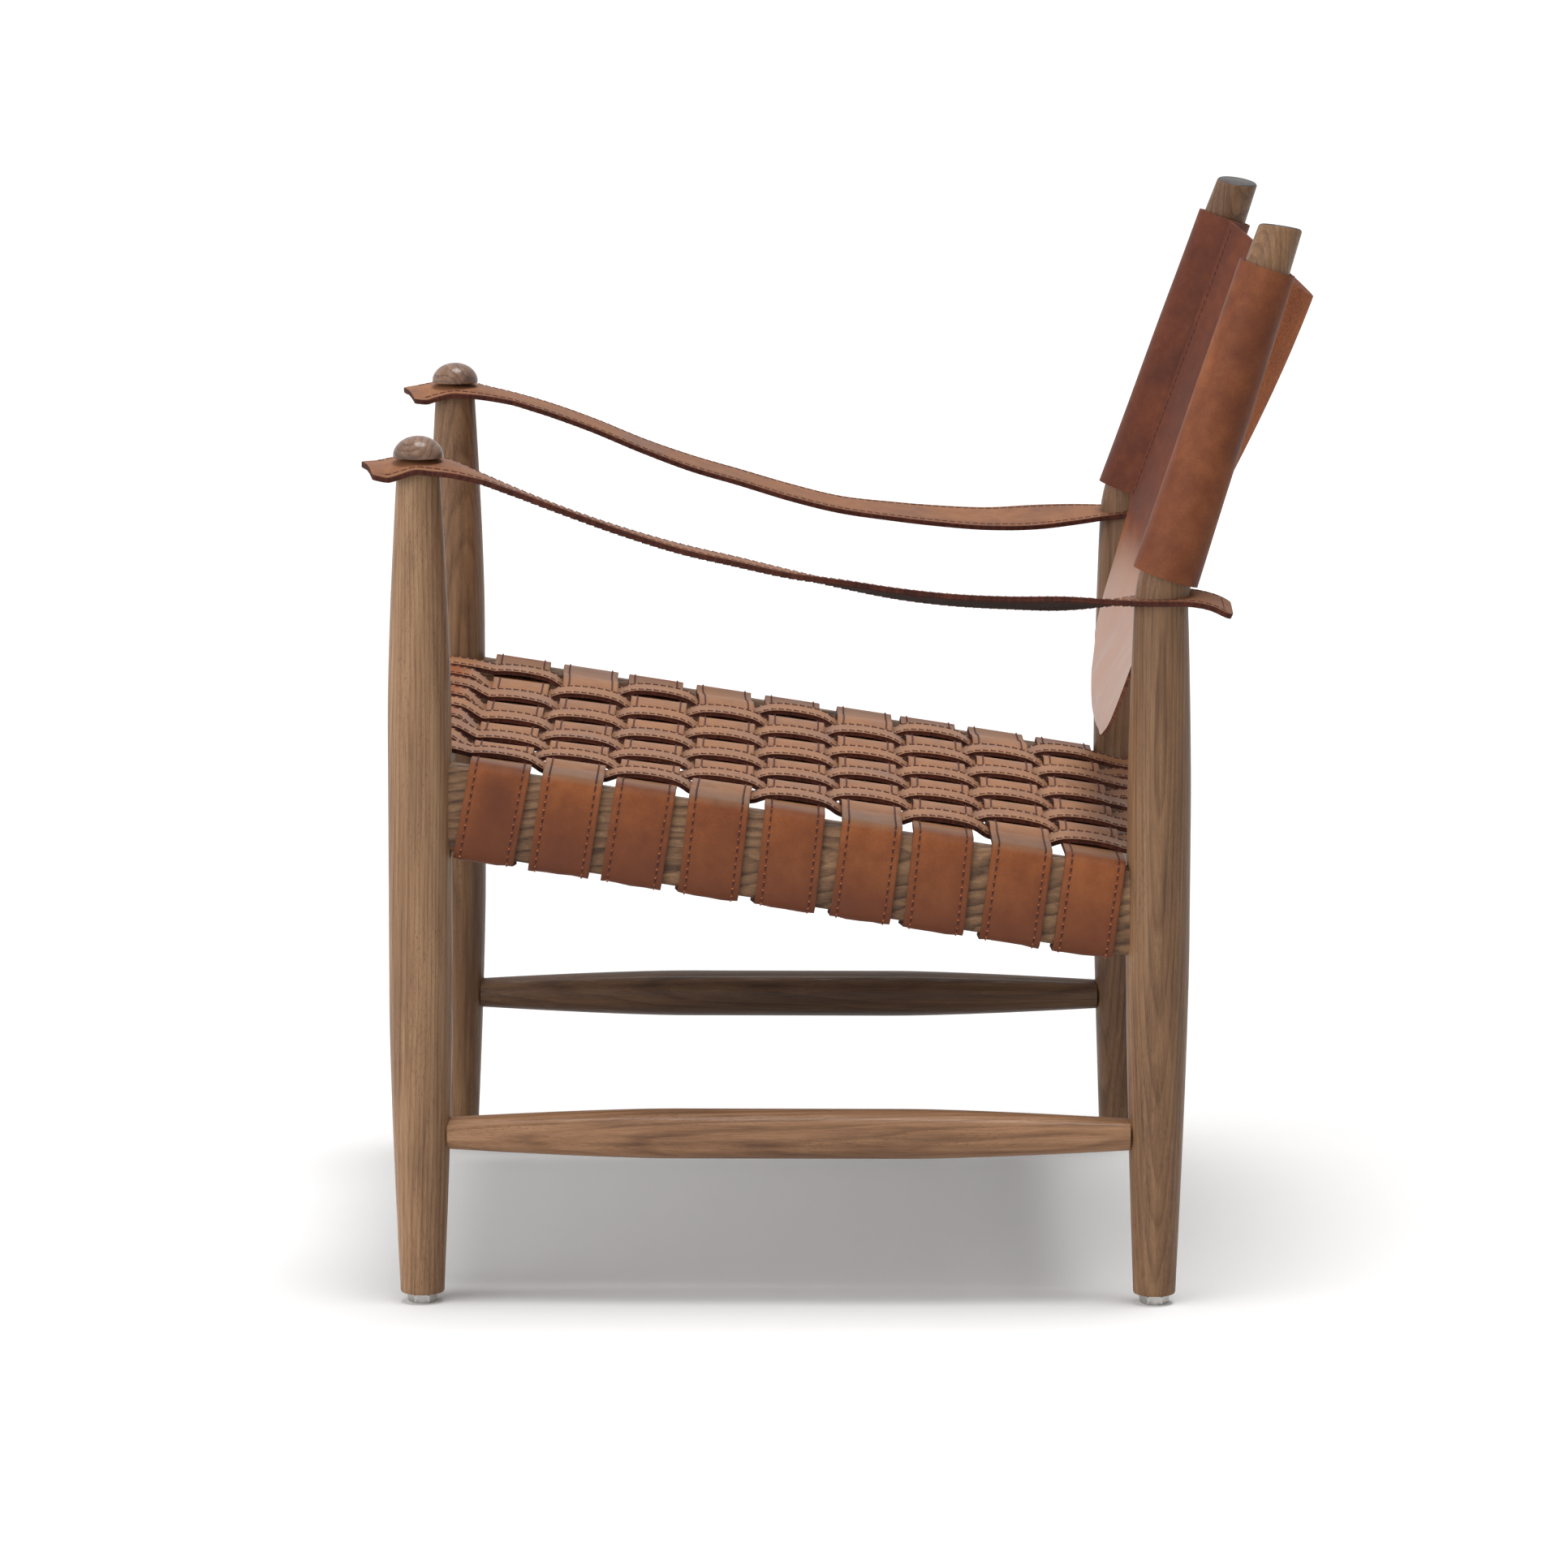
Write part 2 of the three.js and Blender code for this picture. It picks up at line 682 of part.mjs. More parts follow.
function armStrapGeometry(side) {
  const curve = armCourse();
  const half_width = arm_strap_width / 2;
  const half = arm_strap_thickness / 2;
  const rings = [];
  for (let k = 0; k <= arm_strap_steps; k += 1) {
    const { x: y, y: z, z: roll_degrees } = curve.getPoint(k / arm_strap_steps);
    const ahead = curve.getTangent(k / arm_strap_steps);
    const roll = THREE.MathUtils.degToRad(roll_degrees);
    const run = new THREE.Vector3(0, ahead.x, ahead.y).normalize();
    const across = new THREE.Vector3(side * Math.cos(roll), 0, Math.sin(roll));
    const up = new THREE.Vector3().crossVectors(across, run).normalize().multiplyScalar(side);
    const centre = new THREE.Vector3(side * leg_x, y, z);
    const corner = (a, b) => centre.clone().addScaledVector(across, a * half_width).addScaledVector(up, b * half);
    rings.push([corner(-1, -1), corner(1, -1), corner(1, 1), corner(-1, 1)]);
  }
  const stud_hole = rod(stud_radius + stud_clearance, arm_strap_front_height - cut_overrun,
    arm_strap_front_height + cut_overrun, small_sides);
  return toGeometry(cut(
    toSolid(loft(rings)).intersect(armStrapOutline(side)),
    toSolid(moved(stud_hole, side * leg_x, -leg_y, 0)),
    legSolid(side, "rear", post_hole_clearance)));
}

// Knob: a turned dome on a stud

const knob_base = arm_strap_front_height + arm_strap_thickness / 2 + joint_gap;

function knobGeometry() {
  const rows = [[knob_radius - knob_rim_bevel, 0], [knob_radius, knob_rim_bevel]];
  for (let k = 0; k < knob_dome_steps; k += 1) {
    const angle = (k / knob_dome_steps) * Math.PI / 2;
    const height = knob_rim_height + (knob_height - knob_rim_height) * Math.sin(angle);
    rows.push([knob_radius * Math.cos(angle), height]);
  }
  const dome = turned([[0, 0], ...rows, [0, knob_height]], turned_sides);
  const bore = rod(stud_radius + stud_clearance, -cut_overrun, stud_depth_in_knob + joint_gap, small_sides);
  return toGeometry(toSolid(dome).subtract(toSolid(bore)));
}

function knobStudGeometry() {
  return rod(stud_radius, front_leg_top - stud_depth_in_leg, knob_base + stud_depth_in_knob, small_sides);
}

// Levelling foot: hexagonal base on a stud that runs in a threaded insert

function levellerGeometry() {
  const corner = foot_hex_flats / Math.sqrt(3);
  const high = leg_bottom - joint_gap;
  const profile = [[0, 0], [corner - foot_hex_chamfer, 0], [corner, foot_hex_chamfer], [corner, high], [0, high]];
  const base = turned(profile, foot_hex_sides);
  const stud = rod(foot_stud_radius, high - foot_hex_chamfer, leg_bottom + foot_stud_length, small_sides);
  return toGeometry(toSolid(base).add(toSolid(stud)));
}

function insertGeometry() {
  const bore = foot_stud_radius + foot_thread_clearance;
  const high = leg_bottom + foot_insert_length;
  return turned([
    [bore, leg_bottom],
    [foot_insert_radius, leg_bottom],
    [foot_insert_radius, high],
    [bore, high],
    [bore, leg_bottom],
  ], small_sides);
}

// Sling: one sheet whose ends loop round the posts as sleeves

function postHalfSpacing(s) {
  return leg_x - s * toe_in_slope;
}

function sleeveRadius(s) {
  const share = THREE.MathUtils.clamp((s - sleeve_start) / sleeve_length, 0, 1);
  return sleeve_bottom_radius + (sleeve_top_radius - sleeve_bottom_radius) * share;
}

function slingSagAt(s) {
  const share = Math.max(s - sleeve_start + sling_flat_below, 0) / sling_sag_rise;
  return sling_sag * Math.sin(share * Math.PI / 2);
}

function flapLeanAt(s) {
  return flap_lean * Math.max(sleeve_start - s, 0) / flap_length;
}

// The sheet's section with its two loops, drawn for a flat panel and the top sleeve radius
function slingSection() {
  const outer = sleeve_top_radius;
  const inner = outer - sling_thickness;
  const half = sling_thickness / 2;
  const opening = Math.asin(half / outer);
  const shape = new THREE.Shape();
  const loopPoints = (side, from, to) => {
    for (let k = 0; k <= sleeve_sides; k += 1) {
      const angle = from + (to - from) * k / sleeve_sides;
      shape.lineTo(side * leg_x + outer * Math.cos(angle), outer * Math.sin(angle));
    }
  };
  const panelPoints = (from, to, n) => {
    for (let k = 1; k < sling_panel_steps; k += 1) {
      shape.lineTo(from + (to - from) * k / sling_panel_steps, n);
    }
  };
  const reach = leg_x - outer * Math.cos(opening);
  shape.moveTo(-reach, -half);
  panelPoints(-reach, reach, -half);
  loopPoints(1, Math.PI + opening, 3 * Math.PI - opening);
  panelPoints(reach, -reach, half);
  loopPoints(-1, opening, 2 * Math.PI - opening);
  for (const side of [-1, 1]) {
    const hole = new THREE.Path();
    for (let k = 0; k < sleeve_sides; k += 1) {
      const angle = (k / sleeve_sides) * 2 * Math.PI;
      const point = [side * leg_x + inner * Math.cos(angle), inner * Math.sin(angle)];
      if (k === 0) {
        hole.moveTo(...point);
      } else {
        hole.lineTo(...point);
      }
    }
    hole.closePath();
    shape.holes.push(hole);
  }
  return shape;
}

// Hangs a point of the straight extrusion: sleeves follow the posts, the panel sags between them
function hang(point) {
  const s = point.z;
  const side = Math.sign(point.x);
  const reach = leg_x - sleeve_top_radius;
  const growth = sleeveRadius(s) - sleeve_top_radius;
  const centre = postHalfSpacing(s);
  if (Math.abs(point.x) > reach + sling_thickness / 2) {
    const across = point.x - side * leg_x;
    const radius = Math.hypot(across, point.y);
    const scale = (radius + growth) / radius;
    return point.set(side * centre + across * scale, point.y * scale, s);
  }
  const share = THREE.MathUtils.clamp(point.x / reach, -1, 1);
  return point.set(
    share * (centre - sleeve_top_radius - growth),
    point.y + slingSagAt(s) * (1 - share * share) + flapLeanAt(s),
    s);
}

function slingLowerCut() {
  const low = sleeve_start - flap_length;
  const shape = new THREE.Shape();
  const half = flap_half_width;
  shape.moveTo(-sling_cut_reach, sleeve_start);
  shape.lineTo(-half - sleeve_fillet, sleeve_start);
  shape.absarc(-half - sleeve_fillet, sleeve_start - sleeve_fillet, sleeve_fillet, Math.PI / 2, 0, true);
  const corner = half - flap_corner_radius;
  const corner_height = low + flap_end_rise + flap_corner_radius;
  shape.absarc(-corner, corner_height, flap_corner_radius, Math.PI, 3 * Math.PI / 2);
  for (let k = 1; k < sling_panel_steps; k += 1) {
    const share = 2 * k / sling_panel_steps - 1;
    shape.lineTo(share * corner, low + flap_end_rise * share * share);
  }
  shape.absarc(corner, corner_height, flap_corner_radius, 3 * Math.PI / 2, 2 * Math.PI);
  shape.absarc(half + sleeve_fillet, sleeve_start - sleeve_fillet, sleeve_fillet, Math.PI, Math.PI / 2, true);
  shape.lineTo(sling_cut_reach, sleeve_start);
  shape.lineTo(sling_cut_reach, low - cut_overrun);
  shape.lineTo(-sling_cut_reach, low - cut_overrun);
  return slingCutter(shape);
}

function slingTopCut() {
  const reach = postHalfSpacing(sleeve_end) - sleeve_top_radius;
  const shape = new THREE.Shape();
  shape.moveTo(-reach, sleeve_end + cut_overrun);
  for (let k = 0; k <= sling_panel_steps; k += 1) {
    const share = 2 * k / sling_panel_steps - 1;
    shape.lineTo(share * reach, sleeve_end - sling_top_dip * (1 - share * share));
  }
  shape.lineTo(reach, sleeve_end + cut_overrun);
  return slingCutter(shape);
}

// A prism square to the back from an outline in x and s
function slingCutter(shape) {
  const geometry = new THREE.ExtrudeGeometry(shape, {
    depth: 2 * sling_cut_depth,
    bevelEnabled: false,
    curveSegments: sling_edge_steps,
  });
  geometry.translate(0, 0, -sling_cut_depth);
  geometry.rotateX(Math.PI / 2);
  return toSolid(geometry);
}

function slingGeometry() {
  const low = sleeve_start - flap_length - joint_gap;
  const geometry = new THREE.ExtrudeGeometry(slingSection(), {
    depth: sleeve_end - low,
    steps: sling_levels,
    bevelEnabled: false,
  });
  geometry.translate(0, 0, low);
  const position = geometry.attributes.position;
  const point = new THREE.Vector3();
  for (let k = 0; k < position.count; k += 1) {
    hang(point.fromBufferAttribute(position, k));
    position.setXYZ(k, point.x, point.y, point.z);
  }
  return toGeometry(cut(toSolid(geometry), slingLowerCut(), slingTopCut()));
}

// Assembly

function piece(name, geometry, material) {
  const mesh = new THREE.Mesh(geometry, material);
  mesh.name = name;
  return mesh;
}

const chair = new THREE.Group();
const sides = [["left", 1], ["right", -1]];

for (const [side_name, side] of sides) {
  for (const end of ["front", "rear"]) {
    const y = end === "front" ? -leg_y : leg_y;
    chair.add(piece(`${end}_leg_${side_name}`, legGeometry(side, end), wood));
    const leveller = piece(`leveller_${end}_${side_name}`, levellerGeometry(), steel);
    leveller.position.set(side * leg_x, y, 0);
    const insert = piece(`leveller_insert_${end}_${side_name}`, insertGeometry(), brass);
    insert.position.set(side * leg_x, y, 0);
    chair.add(leveller, insert);
  }
  const knob = piece(`arm_knob_${side_name}`, knobGeometry(), dark_wood);
  knob.position.set(side * leg_x, -leg_y, knob_base);
  const stud = piece(`knob_stud_${side_name}`, knobStudGeometry(), steel);
  stud.position.set(side * leg_x, -leg_y, 0);
  chair.add(knob, stud);
  chair.add(piece(`side_stretcher_${side_name}`, stretcherGeometry(side), wood));
  chair.add(piece(`arm_strap_${side_name}`, armStrapGeometry(side), leather));
  seat.add(piece(`side_rail_${side_name}`, sideRailGeometry(side), wood));
}

for (const end of ["front", "rear"]) {
  seat.add(piece(`${end}_rail`, crossRailGeometry(end), wood));
}
for (let number = 0; number < strap_count; number += 1) {
  seat.add(piece(`cross_strap_${number + 1}`, crossStrapGeometry(number), leather));
  seat.add(piece(`long_strap_${number + 1}`, longStrapGeometry(number), leather));
}

back.add(piece("back_sling", slingGeometry(), leather));
chair.add(seat, back);

// The origin stands on the floor under the middle of the whole chair
chair.updateMatrixWorld(true);
const extent = new THREE.Box3().setFromObject(chair, true);
chair.position.y = -(extent.min.y + extent.max.y) / 2;

export default chair;
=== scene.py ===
"""Looks of a strap-seat lounge armchair: turned wood, woven leather straps, a leather sling."""
from math import cos, pi, radians, sin, tanh

import bmesh
import bpy
import numpy as np
from mathutils import Matrix, Vector


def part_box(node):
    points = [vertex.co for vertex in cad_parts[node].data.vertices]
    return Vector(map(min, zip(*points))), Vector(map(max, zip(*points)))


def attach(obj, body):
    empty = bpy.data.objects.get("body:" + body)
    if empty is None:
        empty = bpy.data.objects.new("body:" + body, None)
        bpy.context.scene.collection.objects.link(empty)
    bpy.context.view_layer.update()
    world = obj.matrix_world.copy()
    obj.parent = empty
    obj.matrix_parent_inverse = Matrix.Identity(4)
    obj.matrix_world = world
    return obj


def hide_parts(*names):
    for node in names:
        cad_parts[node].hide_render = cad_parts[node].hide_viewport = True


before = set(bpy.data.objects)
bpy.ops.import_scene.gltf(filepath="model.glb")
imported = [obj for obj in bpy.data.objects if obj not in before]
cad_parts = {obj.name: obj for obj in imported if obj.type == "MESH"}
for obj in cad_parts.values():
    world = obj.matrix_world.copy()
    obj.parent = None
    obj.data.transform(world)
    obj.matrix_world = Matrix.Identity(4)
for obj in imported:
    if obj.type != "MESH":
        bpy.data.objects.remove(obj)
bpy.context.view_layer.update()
rng = np.random.default_rng(7)

# Sizes in millimetres, in the chair's own frame: x across, y back, z up, legs at +-LEG_Y
MM = 0.001
LEG_X, LEG_Y = 292.0, 271.0
CHAIR = "chair"
knob_low, knob_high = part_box("arm_knob_left")
SHIFT_Y = (knob_low.y + knob_high.y) / 2 / MM + LEG_Y

# Seat frame: x across, u down the slope to the back, w square to the seat
SEAT_SLOPE, SEAT_HEIGHT = radians(8.7), 365.7
RAIL_DEPTH, RAIL_THICK, RAIL_ROUND = 65.0, 20.0, 7.0
RAIL_U = [(y + RAIL_DEPTH / 2 * sin(SEAT_SLOPE)) / cos(SEAT_SLOPE) for y in (-LEG_Y, LEG_Y)]
MIDDLE_U = sum(RAIL_U) / 2
STRAPS, STRAP_WIDE, STRAP_THICK = 9, 44.6, 3.5
STRAP_ROW = 17.3
CROSS_PITCH, LONG_PITCH = 55.3, 56.0
CROSS_WAVE, LONG_WAVE = 1.0, 3.2
CROSS_RISE, LONG_RISE = 2.5, 1.4
LAY_GAP = 0.4
MID = (STRAPS - 1) / 2
SAG, SAG_REAR, SAG_RUN_IN, SAG_POWER = 11.0, 1.2, 24.0, (2.8, 2.0)

# Back frame: x across, n square to the back, s up along the posts from their kink
KINK, RECLINE = 533.0, radians(18.3)
POST_LONG, TOE = 275.0, 37.0 / 275.0
SLEEVE_LOW, SLEEVE_LONG = 9.4, 235.2
SLEEVE_TOP = SLEEVE_LOW + SLEEVE_LONG
SLEEVE_TOP_R, SLEEVE_LOW_R, SLING_THICK = 21.5, 24.8, 2.8

# Turned legs: heights, and radii at the belly, the kink and the ends
LEG_LOW, LEG_R, KINK_R, LEG_SIDES = 7.5, 23.4, 19.5, 64
# Heights over its low end where a leg's rounded foot starts and ends
FOOT_ROUND, FOOT_TOP = 0.4, 1.6
FRONT_TOP, FRONT_DOME, FRONT_BELLY = 622.8, 4.4, (215, 448)
FRONT_FOOT_R, FRONT_LOW_R, FRONT_TIP_R = (14.8, 15.7), 16.2, 15.8
REAR_BELLY, REAR_FOOT_R, REAR_LOW_R = (258, 382), (14.2, 15.1), 15.6
POST_TAPER, POST_R, POST_TIP_R, POST_CHAMFER = (14, 195), 18.1, 15.9, 1.8
# Cut of the posts' tops, flatter than square: where it starts, its run, slant and lift
CUT_FROM, CUT_RUN, CUT_SLANT, CUT_LIFT = 22, 20, 0.16, 0.6
STRETCHER_HEIGHT, STRETCHER_R, STRETCHER_TIP_R = 127.0, 18.5, 10.7


def joined(*coordinates):
    """Points from coordinates, brought to one shape."""
    return np.stack(np.broadcast_arrays(*coordinates), -1)


def seat_place(x, u, w):
    """Points of the seat frame in the chair's frame."""
    c, s = cos(SEAT_SLOPE), sin(SEAT_SLOPE)
    return joined(x, u * c + w * s, SEAT_HEIGHT - u * s + w * c)


def back_place(x, n, s):
    """Points of the back frame in the chair's frame."""
    c, k = cos(RECLINE), sin(RECLINE)
    return joined(x, LEG_Y + n * c + s * k, KINK - n * k + s * c)


def smooth_step(share):
    share = np.clip(share, 0, 1)
    return share * share * (3 - 2 * share)


def unit(vectors):
    return vectors / np.maximum(np.linalg.norm(vectors, axis=-1, keepdims=True), 1e-12)


# Meshes


class Shell:
    """Points and faces of one piece, with a grain vector and a mark for its material."""

    def __init__(self):
        self.points, self.grain, self.mark = [], [], []
        self.faces, self.kinds, self.count = [], [], 0

    def add(self, points, faces, grain=None, mark=None, kind=0):
        points = np.asarray(points, float).reshape(-1, 3)
        self.points.append(points)
        self.grain.append(points if grain is None else np.asarray(grain, float).reshape(-1, 3))
        self.mark.append(np.zeros(len(points)) if mark is None else np.asarray(mark, float).reshape(-1))
        self.faces += [tuple(int(v) + self.count for v in face) for face in faces]
        self.kinds += [kind] * len(faces) if np.isscalar(kind) else list(kind)
        self.count += len(points)


def placed(name, data):
    """A new object in the scene."""
    item = bpy.data.objects.new(name, data)
    bpy.context.scene.collection.objects.link(item)
    return item


def make(name, shell, materials, slot=None, stands_for=(), body=CHAIR, sharp=40):
    """One object in metres from a shell in millimetres; normals point out of each closed part."""
    mesh = bpy.data.meshes.new(name)
    points = (np.concatenate(shell.points) + [0, SHIFT_Y, 0]) * MM
    mesh.from_pydata(points.tolist(), [], shell.faces)
    grain, mark = np.concatenate(shell.grain) * MM, np.concatenate(shell.mark)
    for label, kind, field, values in (("grain", "FLOAT_VECTOR", "vector", grain),
                                       ("mark", "FLOAT", "value", mark)):
        attribute = mesh.attributes.new(label, kind, "POINT")
        attribute.data.foreach_set(field, values.astype(np.float32).ravel())
    for material in materials:
        mesh.materials.append(material)
    mesh.polygons.foreach_set("material_index", np.array(shell.kinds, np.int32))
    sheet = bmesh.new()
    sheet.from_mesh(mesh)
    bmesh.ops.recalc_face_normals(sheet, faces=sheet.faces)
    sheet.to_mesh(mesh)
    sheet.free()
    mesh.shade_smooth()
    mesh.set_sharp_from_angle(angle=radians(sharp))
    mesh.update()
    piece = placed(name, mesh)
    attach(piece, body)
    if stands_for:
        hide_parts(*stands_for)
    return piece


def ring_faces(rows, count):
    """Quads between rows of count points, each row closed on itself."""
    r, k = np.meshgrid(np.arange(rows - 1), np.arange(count), indexing="ij")
    a, b = r * count + k, r * count + (k + 1) % count
    return np.stack([a, b, b + count, a + count], -1).reshape(-1, 4).tolist()


def sweep(rings):
    """Faces of a stack of rings (rows, count, 3); the last two are its flat ends."""
    rows, count = rings.shape[:2]
    ends = [list(range(count))[::-1], [(rows - 1) * count + k for k in range(count)]]
    return ring_faces(rows, count) + ends


def band_kinds(ring, rim, count):
    """Materials of a swept band's faces: 0 on its top, 1 below and 2 on what is cut, past the rim."""
    following = np.roll(ring, -1, axis=0)
    cut = (np.abs(ring[:, 0]) > rim) & (np.abs(following[:, 0]) > rim)
    band = np.where(cut, 2, np.where(ring[:, 1] + following[:, 1] > 0, 0, 1))
    return [int(band[k % len(ring)]) for k in range(count - 2)] + [2, 2]


def run_along(points):
    """Length along a line of points at each of them."""
    return np.concatenate([[0], np.cumsum(np.linalg.norm(np.diff(points, axis=0), axis=1))])


def mirrored(right):
    """Closed section from the right half of its top, as (across, up) from the middle to the rim."""
    top = [(-a, t) for a, t in right[:0:-1]] + right
    return np.array(top + [(a, -t) for a, t in reversed(top[1:-1])])


def thick_sheet(shell, front, back, grain, mark):
    """A closed sheet from two grids (rows, columns, 3) that face each other."""
    rows, cols = front.shape[:2]
    r, k = np.meshgrid(np.arange(rows - 1), np.arange(cols - 1), indexing="ij")
    a = (r * cols + k).reshape(-1)
    quads = np.stack([a, a + 1, a + cols + 1, a + cols], -1)
    other = rows * cols
    faces = quads.tolist() + (quads[:, ::-1] + other).tolist()
    rim = list(range(cols))
    rim += [r * cols + cols - 1 for r in range(1, rows)]
    rim += [(rows - 1) * cols + k for k in range(cols - 2, -1, -1)]
    rim += [r * cols for r in range(rows - 2, 0, -1)]
    faces += [[q, p, p + other, q + other] for p, q in zip(rim, rim[1:] + rim[:1])]
    kinds = [0] * len(quads) + [1] * len(quads) + [2] * len(rim)
    shell.add([front, back], faces, [grain, grain], [mark, mark], kinds)


# One thread along its length: place, height and half width as shares, and the brightness of a painted
# highlight on its raised first part
THREAD_AT = np.array([0, 0.06, 0.2, 0.28, 0.92, 1])
THREAD_HIGH = np.array([1.4, 1.4, 0.6, 0.6])
THREAD_HALF = np.array([0.6, 1.1, 1.1, 0.9, 0.9, 0.6])
THREAD_GLINT = np.repeat([1.0, 1, 1, 0, 0, 0], 4)
THREAD_SINK = 0.3
GLINT_BRIGHT = (0.55, 1)


def stitch_run(shell, path, out, pitch=6.1, long=4.5, wide=0.68, high=0.38, start=0.0, glint=0.3):
    """Short threads along a path on a surface, each with a painted highlight on its raised first part, as
    bright as given.
    """
    glint = np.broadcast_to(np.asarray(glint, float), (len(path),))
    path, out = np.asarray(path, float), unit(np.asarray(out, float))
    run = run_along(path)
    rise = np.concatenate([[-THREAD_SINK], THREAD_HIGH * high, [-THREAD_SINK]])[:, None]
    half = THREAD_HALF[:, None] * wide
    for k in range(int((run[-1] - start) / pitch)):
        at = start + k * pitch + (pitch - long) / 2 + long * THREAD_AT
        centre = np.stack([np.interp(at, run, path[:, i]) for i in range(3)], -1)
        up = unit(np.stack([np.interp(at, run, out[:, i]) for i in range(3)], -1))
        side = unit(np.cross(unit(centre[-1:] - centre[:1]), up))
        middle = centre + up * rise
        ring = np.stack([middle + side * half, middle + up * half, middle - side * half,
                         middle - up * half], 1)
        bright = float(np.interp(at[1], run, glint)) * rng.uniform(*GLINT_BRIGHT)
        shell.add(ring, sweep(ring), None, THREAD_GLINT * bright)


# Materials


def rgb(r, g, b):
    """Colour as it shows, 0 to 255, to the linear values that shaders take."""
    return tuple(c / 12.92 if c <= 0.04045 else ((c + 0.055) / 1.055) ** 2.4
                 for c in (r / 255, g / 255, b / 255)) + (1,)


# Mark of plain leather, between painted light, 0, and deep, 1
PLAIN = 0.3


class Nodes:
    """A node tree, emptied, with short calls for what is used here."""

    def __init__(self, tree):
        self.tree = tree
        tree.nodes.clear()

    def plug(self, socket, value):
        if isinstance(value, bpy.types.NodeSocket):
            self.tree.links.new(value, socket)
        else:
            socket.default_value = value

    def add(self, kind, inputs=None, **settings):
        made = self.tree.nodes.new("ShaderNode" + kind)
        for key, value in settings.items():
            setattr(made, key, value)
        for key, value in (inputs or {}).items():
            self.plug(made.inputs[key.replace("_", " ") if isinstance(key, str) else key], value)
        return made

    def attribute(self, name, socket="Fac"):
        return self.add("Attribute", attribute_name=name).outputs[socket]

    def scaled(self, vector, scale, shift=(0, 0, 0)):
        return self.add("Mapping", {"Vector": vector, "Scale": scale, "Location": shift}).outputs[0]

    def noise(self, vector, scale, detail=3.0, rough=0.5, distortion=0.0):
        return self.add("TexNoise", {"Vector": vector, "Scale": scale, "Detail": detail,
                                     "Roughness": rough, "Distortion": distortion}).outputs[0]

    def cells(self, vector, scale):
        return self.add("TexVoronoi", {"Vector": vector, "Scale": scale}).outputs[0]

    def math(self, operation, a, b=0.0, clamp=False):
        return self.add("Math", {0: a, 1: b}, operation=operation, use_clamp=clamp).outputs[0]

    def mixed(self, *parts):
        """Sum of values, each times its factor."""
        total = None
        for value, factor in parts:
            value = self.math("MULTIPLY", value, factor)
            total = value if total is None else self.math("ADD", total, value)
        return total

    def span(self, value, low, high, to_low=0.0, to_high=1.0):
        return self.add("MapRange", {"Value": value, 1: low, 2: high, 3: to_low, 4: to_high}).outputs[0]

    def blend(self, share, a, b):
        return self.add("Mix", {0: share, 6: a, 7: b}, data_type="RGBA").outputs[2]

    def ramp(self, share, *stops):
        made = self.add("ValToRGB", {"Fac": share})
        elements = made.color_ramp.elements
        while len(elements) < len(stops):
            elements.new(0.5)
        for element, (place, colour) in zip(elements, stops):
            element.position = place
            element.color = colour
        return made.outputs[0]


class Paint(Nodes):
    """A material with one shader; its sockets may be given by name."""

    def __init__(self, name, **sockets):
        self.material = bpy.data.materials.new(name)
        self.material.use_nodes = True
        super().__init__(self.material.node_tree)
        self.shader = self.add("BsdfPrincipled", sockets)
        self.add("OutputMaterial", {"Surface": self.shader.outputs[0]})

    def finish(self, colour, rough, height, depth, strength):
        """Colour, roughness and bump; a bump of strength 1 is depth metres high."""
        bump = self.add("Bump", {"Height": height, "Distance": depth, "Strength": strength})
        for name, value in (("Base Color", colour), ("Roughness", rough), ("Normal", bump.outputs[0])):
            self.plug(self.shader.inputs[name], value)
        return self.material


